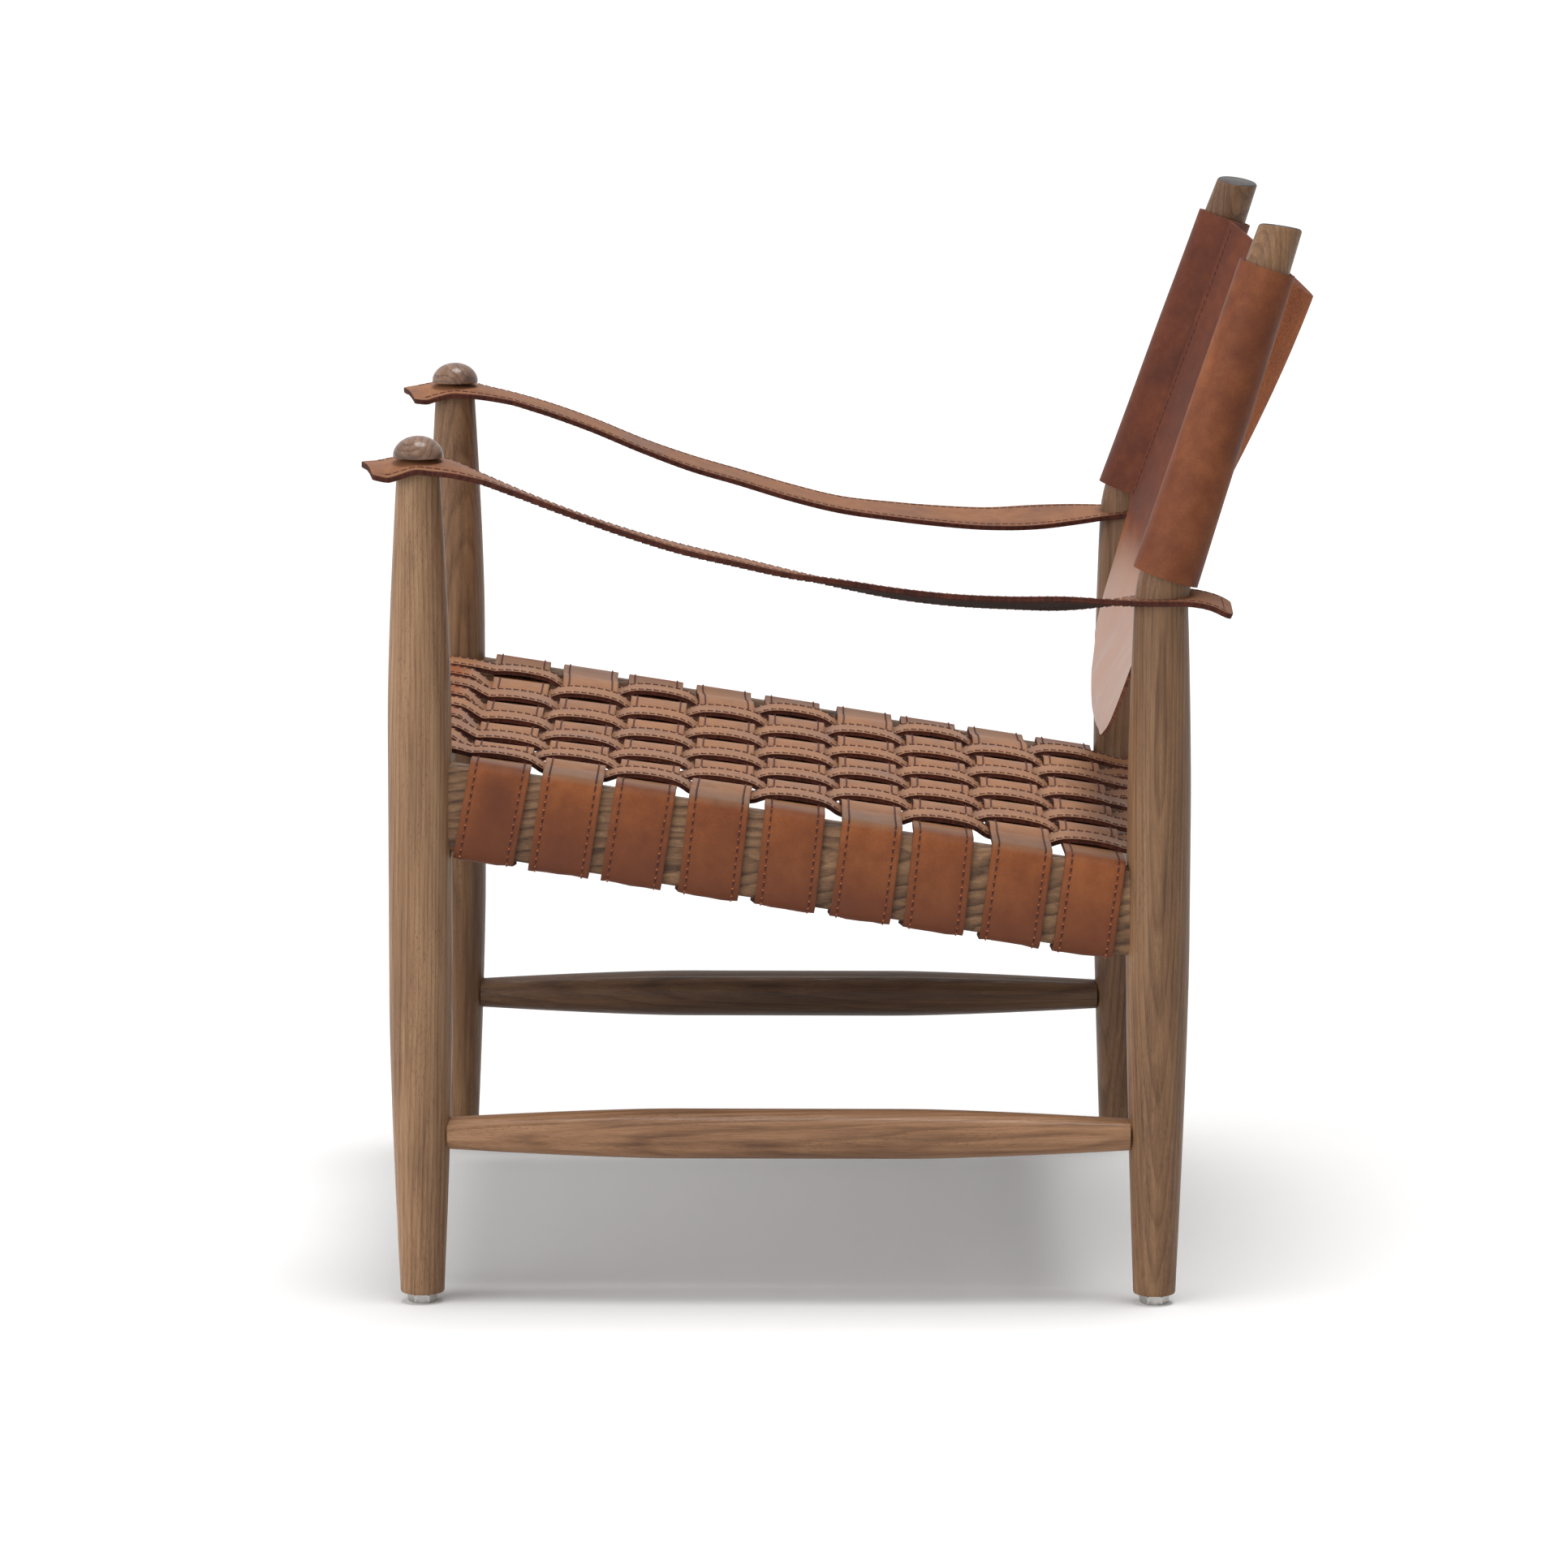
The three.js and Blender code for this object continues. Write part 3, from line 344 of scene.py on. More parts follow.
def wood(name, light, mid, dark, rough=0.5, ring=0.0034, rings=0.22, speckle=0.5, coat=0.12):
    """Turned or sawn wood under satin oil: faint rings, long streaks and clusters of short pores."""
    paint = Paint(name, Specular_IOR_Level=0.25, Coat_Weight=coat, Coat_Roughness=0.14)
    grain = paint.attribute("grain", "Vector")
    drift = paint.noise(paint.scaled(grain, (1, 1, 0.1)), 26.0)
    parts = paint.add("SeparateXYZ", {0: grain})
    flat = paint.add("CombineXYZ", {0: parts.outputs[0], 1: parts.outputs[1]}).outputs[0]
    radius = paint.add("VectorMath", {0: flat}, operation="LENGTH").outputs["Value"]
    turns = paint.math("ADD", paint.math("DIVIDE", radius, ring), paint.math("MULTIPLY", drift, 4.6))
    tones = ((0.0, 0.1), (0.5, 0.3), (0.85, 1), (1.0, 0.1))
    late = paint.ramp(paint.math("FRACT", turns), *((at, (tone,) * 3 + (1,)) for at, tone in tones))
    fibres = paint.noise(paint.scaled(grain, (1, 1, 0.02)), 1500.0, 4.0, 0.6)
    streak = paint.noise(paint.scaled(grain, (1, 1, 0.03), (0.3, 0.1, 0)), 230.0, 4.0, 0.55)
    pores = paint.noise(paint.scaled(grain, (1, 1, 0.16)), 1500.0, 1.5, 0.6)
    herd = paint.noise(paint.scaled(grain, (1, 1, 0.12), (0.1, 0.7, 0)), 70.0, 2.0)
    pore = paint.math("MULTIPLY", paint.span(pores, 0.56, 0.68), paint.span(herd, 0.42, 0.6, 0.25, 1.0))
    cloud = paint.noise(paint.scaled(grain, (1, 1, 0.25)), 20.0)
    share = paint.mixed((late, rings), (streak, 0.75), (paint.math("SUBTRACT", cloud, 0.5), 0.7),
                        (paint.math("SUBTRACT", fibres, 0.5), 0.6))
    colour = paint.ramp(share, (0.16, light), (0.46, mid), (0.86, dark))
    colour = paint.blend(paint.math("MULTIPLY", pore, speckle), colour, dark)
    roughness = paint.span(fibres, 0.3, 0.7, rough - 0.07, rough + 0.1)
    height = paint.math("SUBTRACT", paint.math("MULTIPLY", fibres, 0.5), pore)
    return paint.finish(colour, roughness, height, 0.0003, 0.3)


def leather(name, light, mid, dark, rough=0.5, scuff=0.5, row=0.0173, edge=0.0205, painted_light_colours=None,
            deep=None, specular=0.5, deep_coat=None):
    """Oiled leather: cloudy tone, fine grain, scratches, dark rubbed edges and stitch grooves.

    The mark goes from 0, in the colours of painted light, over PLAIN, the leather's own, to 1, in the deep
    one.
    """
    paint = Paint(name, Specular_IOR_Level=specular, Coat_Roughness=0.25)
    grain = paint.attribute("grain", "Vector")
    mark = paint.attribute("mark")
    cloud = paint.noise(grain, 16.0, 3.0, 0.5, 0.3)
    patch = paint.noise(paint.scaled(grain, (1, 1, 1), (2.0, 1.0, 0.0)), 80.0, 4.0, 0.6)
    fine = paint.noise(grain, 900.0, 3.0, 0.6)
    pebble = paint.cells(grain, 1500.0)
    scratch = paint.noise(paint.scaled(grain, (0.12, 1, 1), (1.0, 0.5, 0.0)), 700.0, 2.0)
    scratch = paint.span(scratch, 0.66, 0.74)
    share = paint.mixed((cloud, 0.58), (patch, 0.35), (paint.math("SUBTRACT", fine, 0.5), 0.22))
    colour = paint.ramp(share, (0.28, light), (0.475, mid), (0.715, dark))
    # The low mark's colours are painted light: a sheen on the seat's top, shade on the sling's far side.
    if painted_light_colours:
        painted_light_tone = paint.ramp(share, (0.28, painted_light_colours[0]), (0.475, painted_light_colours[1]), (0.715, painted_light_colours[2]))
        colour = paint.blend(paint.span(mark, 0.02, PLAIN), painted_light_tone, colour)
    colour = paint.blend(paint.math("MULTIPLY", scratch, scuff * 0.35), colour, light)
    # The deep colour: darker towards the feet of the seat straps' wraps; on the sling a paler flap, partly
    # painted sheen.
    if deep:
        deep_tone_share = paint.span(mark, PLAIN, 1.0, 0.0, 0.5 if deep_coat else 0.8)
        colour = paint.blend(deep_tone_share, colour, deep)
    if deep_coat:
        paint.plug(paint.shader.inputs["Coat Weight"], paint.span(mark, PLAIN, 1.0, 0.0, deep_coat))
    if row:
        across = paint.add("SeparateXYZ", {0: grain}).outputs[1]
        off = paint.math("ABSOLUTE", across)
        rubbed = paint.span(off, edge, edge + 0.0016)
        groove = paint.math("ABSOLUTE", paint.math("SUBTRACT", off, row))
        groove = paint.span(groove, 0.0005, 0.0011, 1.0, 0.0)
        rubbed, groove = paint.math("MULTIPLY", rubbed, 0.4), paint.math("MULTIPLY", groove, 0.3)
        colour = paint.blend(paint.math("MAXIMUM", rubbed, groove), colour, dark)
    roughness = paint.span(cloud, 0.3, 0.7, rough + 0.08, rough - 0.08)
    height = paint.mixed((pebble, 0.5), (fine, 0.6))
    return paint.finish(colour, roughness, height, 0.00025, 0.35)


def suede(name, light, mid, dark, rough=0.9):
    """The napped flesh side of leather: short fibres in clumps."""
    paint = Paint(name, Specular_IOR_Level=0.25)
    grain = paint.attribute("grain", "Vector")
    clump = paint.noise(grain, 420.0, 5.0, 0.65)
    cloud = paint.noise(grain, 30.0)
    nap = paint.noise(grain, 1700.0, 3.0, 0.7)
    share = paint.mixed((clump, 0.7), (cloud, 0.3))
    colour = paint.ramp(share, (0.34, dark), (0.5, mid), (0.68, light))
    height = paint.math("ADD", clump, paint.math("MULTIPLY", nap, 0.6))
    return paint.finish(colour, paint.span(nap, 0, 1, rough - 0.05, rough + 0.05), height, 0.0011, 0.8)


def metal(name, colour, rough):
    """Turned and plated metal: faint rings of tool marks and a little dirt."""
    paint = Paint(name, Metallic=1.0)
    place = paint.add("TexCoord").outputs["Object"]
    lines = paint.noise(paint.scaled(place, (1, 1, 40)), 90.0, 2.0)
    dirt = paint.noise(place, 160.0)
    soiled = tuple(c * 0.6 for c in colour[:3]) + (1,)
    tint = paint.blend(paint.span(dirt, 0.45, 0.75, 0.0, 0.35), colour, soiled)
    return paint.finish(tint, paint.span(lines, 0.3, 0.7, rough - 0.06, rough + 0.1), lines, 0.0001, 0.2)


def thread(name, light, dark):
    """Waxed thread with its twist; the mark paints a highlight in the light colour."""
    paint = Paint(name, Specular_IOR_Level=0.4)
    grain = paint.attribute("grain", "Vector")
    twist = paint.noise(grain, 2600.0, 1.0)
    colour = paint.blend(paint.attribute("mark"), dark, light)
    return paint.finish(colour, paint.span(twist, 0.3, 0.7, 0.5, 0.65), twist, 0.0002, 0.5)


front_wood = wood("front_leg_wood", rgb(172, 136, 102), rgb(144, 109, 79), rgb(92, 65, 44), 0.5)
rear_wood = wood("rear_leg_wood", rgb(150, 114, 81), rgb(124, 91, 64), rgb(72, 49, 33), 0.5)
rail_wood = wood("rail_wood", rgb(164, 128, 94), rgb(132, 98, 70), rgb(74, 52, 38), 0.6, 0.0062, 0.4)
stretcher_wood = wood("stretcher_wood", rgb(176, 134, 100), rgb(147, 108, 78), rgb(90, 61, 42),
                      0.48, 0.0042)
# Darker copies of the woods for the chair's far side: painted shade.
far_stretcher_shaded_wood = wood("far_stretcher_wood_painted_shade", rgb(110, 81, 58), rgb(87, 62, 44), rgb(54, 37, 26), 0.5, 0.0042)
far_leg_shaded_wood = wood("far_leg_wood_painted_shade", rgb(132, 98, 70), rgb(106, 77, 54), rgb(66, 46, 32), 0.5, 0.004)
# The knob's colours are lighter than its wood's own, partly a painted sheen.
knob_wood = wood("knob_wood", rgb(150, 116, 92), rgb(114, 85, 67), rgb(58, 41, 32), 0.4, 0.0052, 0.3,
                 0.6, 0.35)
end_grain = wood("end_grain", rgb(92, 86, 84), rgb(70, 64, 63), rgb(44, 40, 40), 0.6)
# Its low-mark colours paint the sheen of the light on the seat's top faces.
strap_hide = leather("strap_hide", rgb(160, 96, 54), rgb(136, 75, 38), rgb(98, 50, 29), 0.55,
                     painted_light_colours=(rgb(166, 119, 84), rgb(149, 102, 69), rgb(114, 73, 48)), deep=rgb(94, 49, 31),
                     specular=0.25)
strap_flesh = suede("strap_flesh", rgb(128, 80, 56), rgb(96, 56, 39), rgb(62, 34, 24))
# Cut edges darker than the hide: partly their own colour, partly painted shade.
strap_edge_and_shade = suede("strap_edge_and_shade", rgb(98, 52, 38), rgb(76, 39, 29), rgb(50, 25, 20))
arm_hide = leather("arm_hide", rgb(158, 110, 78), rgb(136, 91, 63), rgb(94, 58, 42), 0.58,
                   row=0.0205, edge=0.0232, specular=0.2)
arm_flesh = suede("arm_flesh", rgb(72, 64, 60), rgb(50, 44, 42), rgb(30, 26, 25))
# Its low-mark colours are painted shade for the far side; the deep one, a paler flap, is partly painted
# sheen.
sling_hide = leather("sling_hide", rgb(144, 88, 57), rgb(118, 68, 45), rgb(88, 48, 36), 0.56, row=None,
                     painted_light_colours=(rgb(120, 68, 46), rgb(99, 54, 39), rgb(72, 40, 33)), deep=rgb(176, 124, 86),
                     specular=0.12, deep_coat=0.42)
sling_suede = suede("sling_suede", rgb(206, 122, 66), rgb(170, 92, 45), rgb(118, 58, 29))
sling_edge = suede("sling_edge", rgb(150, 96, 70), rgb(112, 68, 50), rgb(74, 42, 33))
seam_thread = thread("seam_thread", rgb(214, 124, 78), rgb(72, 29, 18))
steel = metal("foot_steel_plated", rgb(184, 182, 178), 0.24)
brass = metal("insert_brass_turned", rgb(176, 142, 80), 0.34)


# Turned wood


def swell(share):
    return (share + np.sin(share * pi / 2)) / 2


def taper(at, tip, full, end, start):
    """Radius along a turned taper, from tip at its end to full at its start."""
    return tip + (full - tip) * swell((at - end) / (start - end))


def eased(radii, reach):
    """Softens the corners between parts of a profile, keeping its ends."""
    kernel = np.ones(2 * reach + 1) / (2 * reach + 1)
    before, after = radii[reach:0:-1], radii[-2:-reach - 2:-1]
    padded = np.concatenate([2 * radii[0] - before, radii, 2 * radii[-1] - after])
    return np.convolve(padded, kernel, "valid")


def lathe_rings(centres, directions, radii, sides=LEG_SIDES):
    """Rings round a path; radii may vary with the angle as a (rows, sides) array."""
    along = unit(np.asarray(directions, float))
    side = unit(np.array([1.0, 0, 0]) - along * along[:, :1])
    front = np.cross(along, side)
    angle = np.arange(sides) / sides * 2 * pi
    radii = np.asarray(radii, float)
    radii = radii[:, None] if radii.ndim == 1 else radii
    return (centres[:, None] + side[:, None] * (radii * np.cos(angle))[..., None]
            + front[:, None] * (radii * np.sin(angle))[..., None])


def wood_grain(points, axis_point, pith, tilt, turn, along):
    """Places in the tree that a piece was cut from."""
    local = points - np.asarray(axis_point)
    order = {"z": (0, 1, 2), "y": (0, 2, 1), "x": (1, 2, 0)}[along]
    local = local[..., list(order)]
    c, s = cos(turn), sin(turn)
    a, b, long = local[..., 0], local[..., 1], local[..., 2]
    a, b = a * c - b * s, a * s + b * c
    return np.stack([a + pith + tilt * long, b, long], -1)


def upright(x, y, z, radii, sides=LEG_SIDES):
    """Rings of a piece turned round a plumb line; z holds their heights."""
    centres = joined(float(x), float(y), z)
    return lathe_rings(centres, np.tile([0.0, 0, 1], (len(z), 1)), radii, sides)


def stand_in(node, form, rings, grain, materials, slot, kinds=0, **settings):
    """A piece from one stack of rings, named after the CAD node that it stands for."""
    shell = Shell()
    shell.add(rings, sweep(rings), grain, None, kinds)
    make(f"{node}_{form}", shell, materials, slot, [node], **settings)


def bellied(z, low_r, belly, high_r, high):
    """Radius of a leg: full along its belly, from low_r at its low end and to high_r at high."""
    radius = np.where(z < belly[0], taper(z, low_r, LEG_R, LEG_LOW, belly[0]), LEG_R)
    return np.where(z > belly[1], taper(z, high_r, LEG_R, high, belly[1]), radius)


def front_leg(side):
    """Rings of a front leg, domed under the arm strap."""
    tip = FRONT_TOP - FRONT_DOME
    z = np.linspace(LEG_LOW + FOOT_TOP, tip, 300)
    radius = eased(bellied(z, FRONT_LOW_R, FRONT_BELLY, FRONT_TIP_R, tip), 9)
    dome = np.linspace(0, 1, 9)[1:] * pi / 2 * 0.97
    dome_z = FRONT_TOP - FRONT_DOME * (1 - np.sin(dome))
    z = np.concatenate([[LEG_LOW, LEG_LOW + FOOT_ROUND], z, dome_z])
    radius = np.concatenate([FRONT_FOOT_R, radius, FRONT_TIP_R * np.cos(dome)])
    return upright(side * LEG_X, -LEG_Y, z, radius)


def rear_leg(side):
    """Rings of a rear leg, bent at its kink into the leaning post."""
    lean = np.array([-side * TOE, sin(RECLINE), cos(RECLINE)])
    up = np.array([0.0, 0, 1])
    kink = np.array([side * LEG_X, LEG_Y, KINK])
    bend_reach = 16.0
    z = np.linspace(LEG_LOW + FOOT_TOP, KINK - bend_reach, 260)
    radius = bellied(z, REAR_LOW_R, REAR_BELLY, KINK_R, KINK)

    low_taper, high_taper = POST_TAPER
    tip = POST_LONG - POST_CHAMFER
    s = np.linspace(bend_reach, tip, 130)
    thinned = np.clip((high_taper - s) / (high_taper - low_taper), 0, 1)
    post = np.where(s > high_taper, taper(s, POST_TIP_R, POST_R, tip, high_taper),
                    POST_R + (KINK_R - POST_R) * thinned)

    bend = np.linspace(0, 1, 13)[1:-1]
    a, b = kink - up * bend_reach, kink + lean * bend_reach
    curve = (((1 - bend) ** 2)[:, None] * a + (2 * bend * (1 - bend))[:, None] * kink
             + (bend ** 2)[:, None] * b)
    low = joined(kink[0], kink[1], z)
    tip_s, tip_r = POST_LONG - np.array([1.1, 0.4, 0.0]), [15.6, 15.0, 14.1]
    foot = [kink + up * (LEG_LOW - KINK), kink + up * (LEG_LOW + FOOT_ROUND - KINK)]
    centres = np.concatenate([foot, low, curve, kink + s[:, None] * lean, kink + tip_s[:, None] * lean])
    radii = eased(np.concatenate([radius, np.full(len(bend), KINK_R), post]), 8)
    radii = np.concatenate([REAR_FOOT_R, radii, tip_r])
    directions = np.gradient(centres, axis=0)
    directions[:60], directions[-60:] = up, lean
    rings = lathe_rings(centres, directions, radii)
    high = (rings - kink) @ lean
    back = (rings - centres[:, None]) @ np.array([0, cos(RECLINE), -sin(RECLINE)])
    cut = smooth_step((high - POST_LONG + CUT_FROM) / CUT_RUN) * (CUT_SLANT * back + CUT_LIFT)
    return rings + cut[..., None] * lean


sides = (("left", 1), ("right", -1))
for label, side in sides:
    rings = front_leg(side)
    grain = wood_grain(rings, (side * LEG_X, -LEG_Y, 300), 46, 0.018 * side, 0.7 + side, "z")
    # The far front leg takes the darker rear-leg wood: painted shade.
    stand_in(f"front_leg_{label}", "turned", rings, grain, [front_wood if side > 0 else rear_wood],
             "frame_wood")

    rings = rear_leg(side)
    grain = wood_grain(rings, (side * LEG_X, LEG_Y, 330), 38, -0.03 * side, 2.1 + side, "z")
    kinds = [0] * (LEG_SIDES * (len(rings) - 3)) + [1] * (LEG_SIDES * 2) + [0, 1]
    # The far rear leg takes its darker copy: painted shade.
    woods = [rear_wood if side > 0 else far_leg_shaded_wood, end_grain]
    stand_in(f"rear_leg_{label}", "turned", rings, grain, woods, "frame_wood", kinds)

    tenon, belly = 19, 95
    y = np.linspace(-LEG_Y + tenon, LEG_Y - tenon, 260)
    share = np.clip((LEG_Y - np.abs(y)) / (LEG_Y - belly), 0, 1)
    radius = eased(STRETCHER_TIP_R + (STRETCHER_R - STRETCHER_TIP_R) * swell(share), 8)
    centres = joined(side * LEG_X, y, STRETCHER_HEIGHT)
    rings = lathe_rings(centres, np.tile([0.0, 1, 0], (len(y), 1)), radius, 56)
    grain = wood_grain(rings, (side * LEG_X, 0, STRETCHER_HEIGHT), 60, 0.03, 0.4 * side, "y")
    # The far stretcher, under the seat, takes its darker copy: painted shade.
    woods = [stretcher_wood if side > 0 else far_stretcher_shaded_wood]
    stand_in(f"side_stretcher_{label}", "turned", rings, grain, woods, "frame_wood")


def rail_section():
    """Rounded board section as (across, w), rim order."""
    x, low = RAIL_THICK / 2 - RAIL_ROUND, -RAIL_DEPTH + RAIL_ROUND
    arc = np.linspace(0, pi / 2, 9)
    out = []
    for cx, cw, start in ((x, -RAIL_ROUND, pi / 2), (x, low, 0), (-x, low, -pi / 2),
                          (-x, -RAIL_ROUND, pi)):
        out += [(cx + RAIL_ROUND * cos(start - t), cw + RAIL_ROUND * sin(start - t)) for t in arc]
    return np.array(out)


section = rail_section()
RAIL_TENON = 17.5
for label, side in sides:
    u = np.linspace(RAIL_U[0] + RAIL_TENON, RAIL_U[1] - RAIL_TENON, 40)
    rings = seat_place(side * LEG_X + section[None, :, 0], u[:, None], section[None, :, 1])
    grain = wood_grain(rings, (side * LEG_X, 0, SEAT_HEIGHT - 40), 12, 0.16, 0.25, "y")
    stand_in(f"side_rail_{label}", "board", rings, grain, [rail_wood], "frame_wood")
for label, u in zip(("front", "rear"), RAIL_U):
    x = np.linspace(-LEG_X + RAIL_TENON, LEG_X - RAIL_TENON, 40)
    rings = seat_place(x[:, None], u + section[None, :, 0], section[None, :, 1])
    grain = wood_grain(rings, (0, u, SEAT_HEIGHT), 70, 0.04, 0.3, "x")
    stand_in(f"{label}_rail", "board", rings, grain, [rail_wood], "frame_wood")

# Woven seat


def sag_at(x, u):
    """How far the woven surface hangs below the rails; most at the front."""
    low, high = RAIL_U[0] + RAIL_THICK / 2, RAIL_U[1] - RAIL_THICK / 2
    across = np.minimum(np.abs(x) / (LEG_X - RAIL_THICK / 2), 1)
    rear = np.clip((u - low) / (high - low), 0, 1)
    run_in = smooth_step(np.minimum(u - low, high - u) / SAG_RUN_IN)
    hang = SAG_REAR + (SAG - SAG_REAR) * (1 - rear) ** 2
    return hang * run_in * (1 - across ** np.where(x > 0, *SAG_POWER))


def weave(place, rise):
    """Height share of a strap, near flat over and under the others, and its arch where it is over."""
    turn = np.cos(place * pi)
    square = np.tanh(3.4 * turn) / tanh(3.4)
    off = place - np.round(place)
    return 0.85 * square + 0.15 * turn, rise * np.clip(1 - (off / 0.42) ** 2, 0, 1)


# Right half of a stitched strap's section: grooved face, cut edge and a line between its plies
STRAP_HALF = [(0, 1.8), (10, 1.8), (15.9, 1.79), (16.7, 1.7), (STRAP_ROW, 1.62), (17.9, 1.7),
              (18.7, 1.79), (21.2, 1.79), (22.0, 1.74), (22.3, 1.55), (22.3, 0.4), (22.15, 0.2),
              (22.15, 0.0)]
STRAP_GROOVE = 1.62


def strap_course(rails, middle, pitch, wave, rise, over, sag):
    """Course of a strap's middle line as (place, height), from under one rail to under the other."""
    lay = LAY_GAP + STRAP_THICK / 2
    edge = MID + STRAP_WIDE / 2 / pitch
    low, high = rails[0] + RAIL_THICK / 2, rails[1] - RAIL_THICK / 2
    place = np.linspace(low, high, int((high - low) / 2.9))
    share = (place - middle) / pitch
    inside = np.clip(share, -edge, edge)
    ends = np.where(share < 0, (low - middle) / pitch + edge, (high - middle) / pitch - edge)
    hold = 1 - smooth_step((share - inside) / ends)
    base, arch = weave(inside, rise)
    up = np.where(base * over > 0, arch, 0) * hold
    height = lay + hold * wave * base * over + up - sag(place)
    arc = np.linspace(0, 1, 9)[:, None] * pi / 2
    x, bend = RAIL_THICK / 2 - RAIL_ROUND, RAIL_ROUND + lay
    flank = np.linspace(-RAIL_ROUND, -RAIL_DEPTH + RAIL_ROUND, 9)[1:-1]
    top = np.concatenate([x + bend * np.sin(arc), -RAIL_ROUND + bend * np.cos(arc)], 1)
    foot = np.concatenate([x + bend * np.cos(arc), -RAIL_DEPTH + RAIL_ROUND - bend * np.sin(arc)], 1)
    wrap = np.concatenate([[[-x, lay]], top, np.stack([np.full(len(flank), x + bend), flank], -1), foot,
                           [[-RAIL_THICK / 2 + 3, -RAIL_DEPTH - lay]]])
    start = np.stack([rails[0] - wrap[::-1, 0], wrap[::-1, 1]], -1)
    end = np.stack([rails[1] + wrap[:, 0], wrap[:, 1]], -1)
    return np.concatenate([start, np.stack([place, height], -1)[1:-1], end])


def band_normals(course):
    """Normals of a course, longer at its bends so that the band keeps its thickness."""
    step = unit(np.diff(course, axis=0))
    entry = np.concatenate([step[:1], step])
    leave = np.concatenate([step, step[-1:]])
    tangent = unit(entry + leave)
    reach = 1 / np.maximum((tangent * entry).sum(1, keepdims=True), 0.5)
    return np.stack([-tangent[:, 1], tangent[:, 0]], -1) * reach


# How far each cross strap's wraps are off their place: near rail, at its top and its foot; far rail
WRAP_TOP = (1.5, 0.0, -1.5, -2.2, -1.4, 0.8, -1.7, 1.5, 0.6)
WRAP_FOOT = (-0.5, -0.3, -1.8, 0.0, 1.6, 2.3, 1.4, 2.8, 1.8)
WRAP_FAR = (-2.8, -2.7, -4.6, -4.2, -3.2, 0.6, -2.5, -1.9, -1.4)
# A strap starts to slide this far before its rail, and is slid this far on
SLIDE_FROM, SLIDE_RUN = 125, 120


def wrap_slide(course, rails, low_end, high_end):
    """Sideways drift of a strap where it goes over its rails; ends are (top, foot) pairs."""
    middle, reach = sum(rails) / 2, (rails[1] - rails[0]) / 2
    place, height = course[:, 0] - middle, course[:, 1]
    beyond = np.abs(place) > reach
    fall = np.clip(-height / 60, 0, 1) * beyond
    ends = np.where(place < 0, low_end[0] * (1 - fall) + low_end[1] * fall,
                    high_end[0] * (1 - fall) + high_end[1] * fall)
    return smooth_step((np.abs(place) - reach + SLIDE_FROM) / SLIDE_RUN) * ends


# Tilt of the long straps, far, middle and near, as a share of the sag's
LONG_TILT = (-0.2, 1, 0.5)

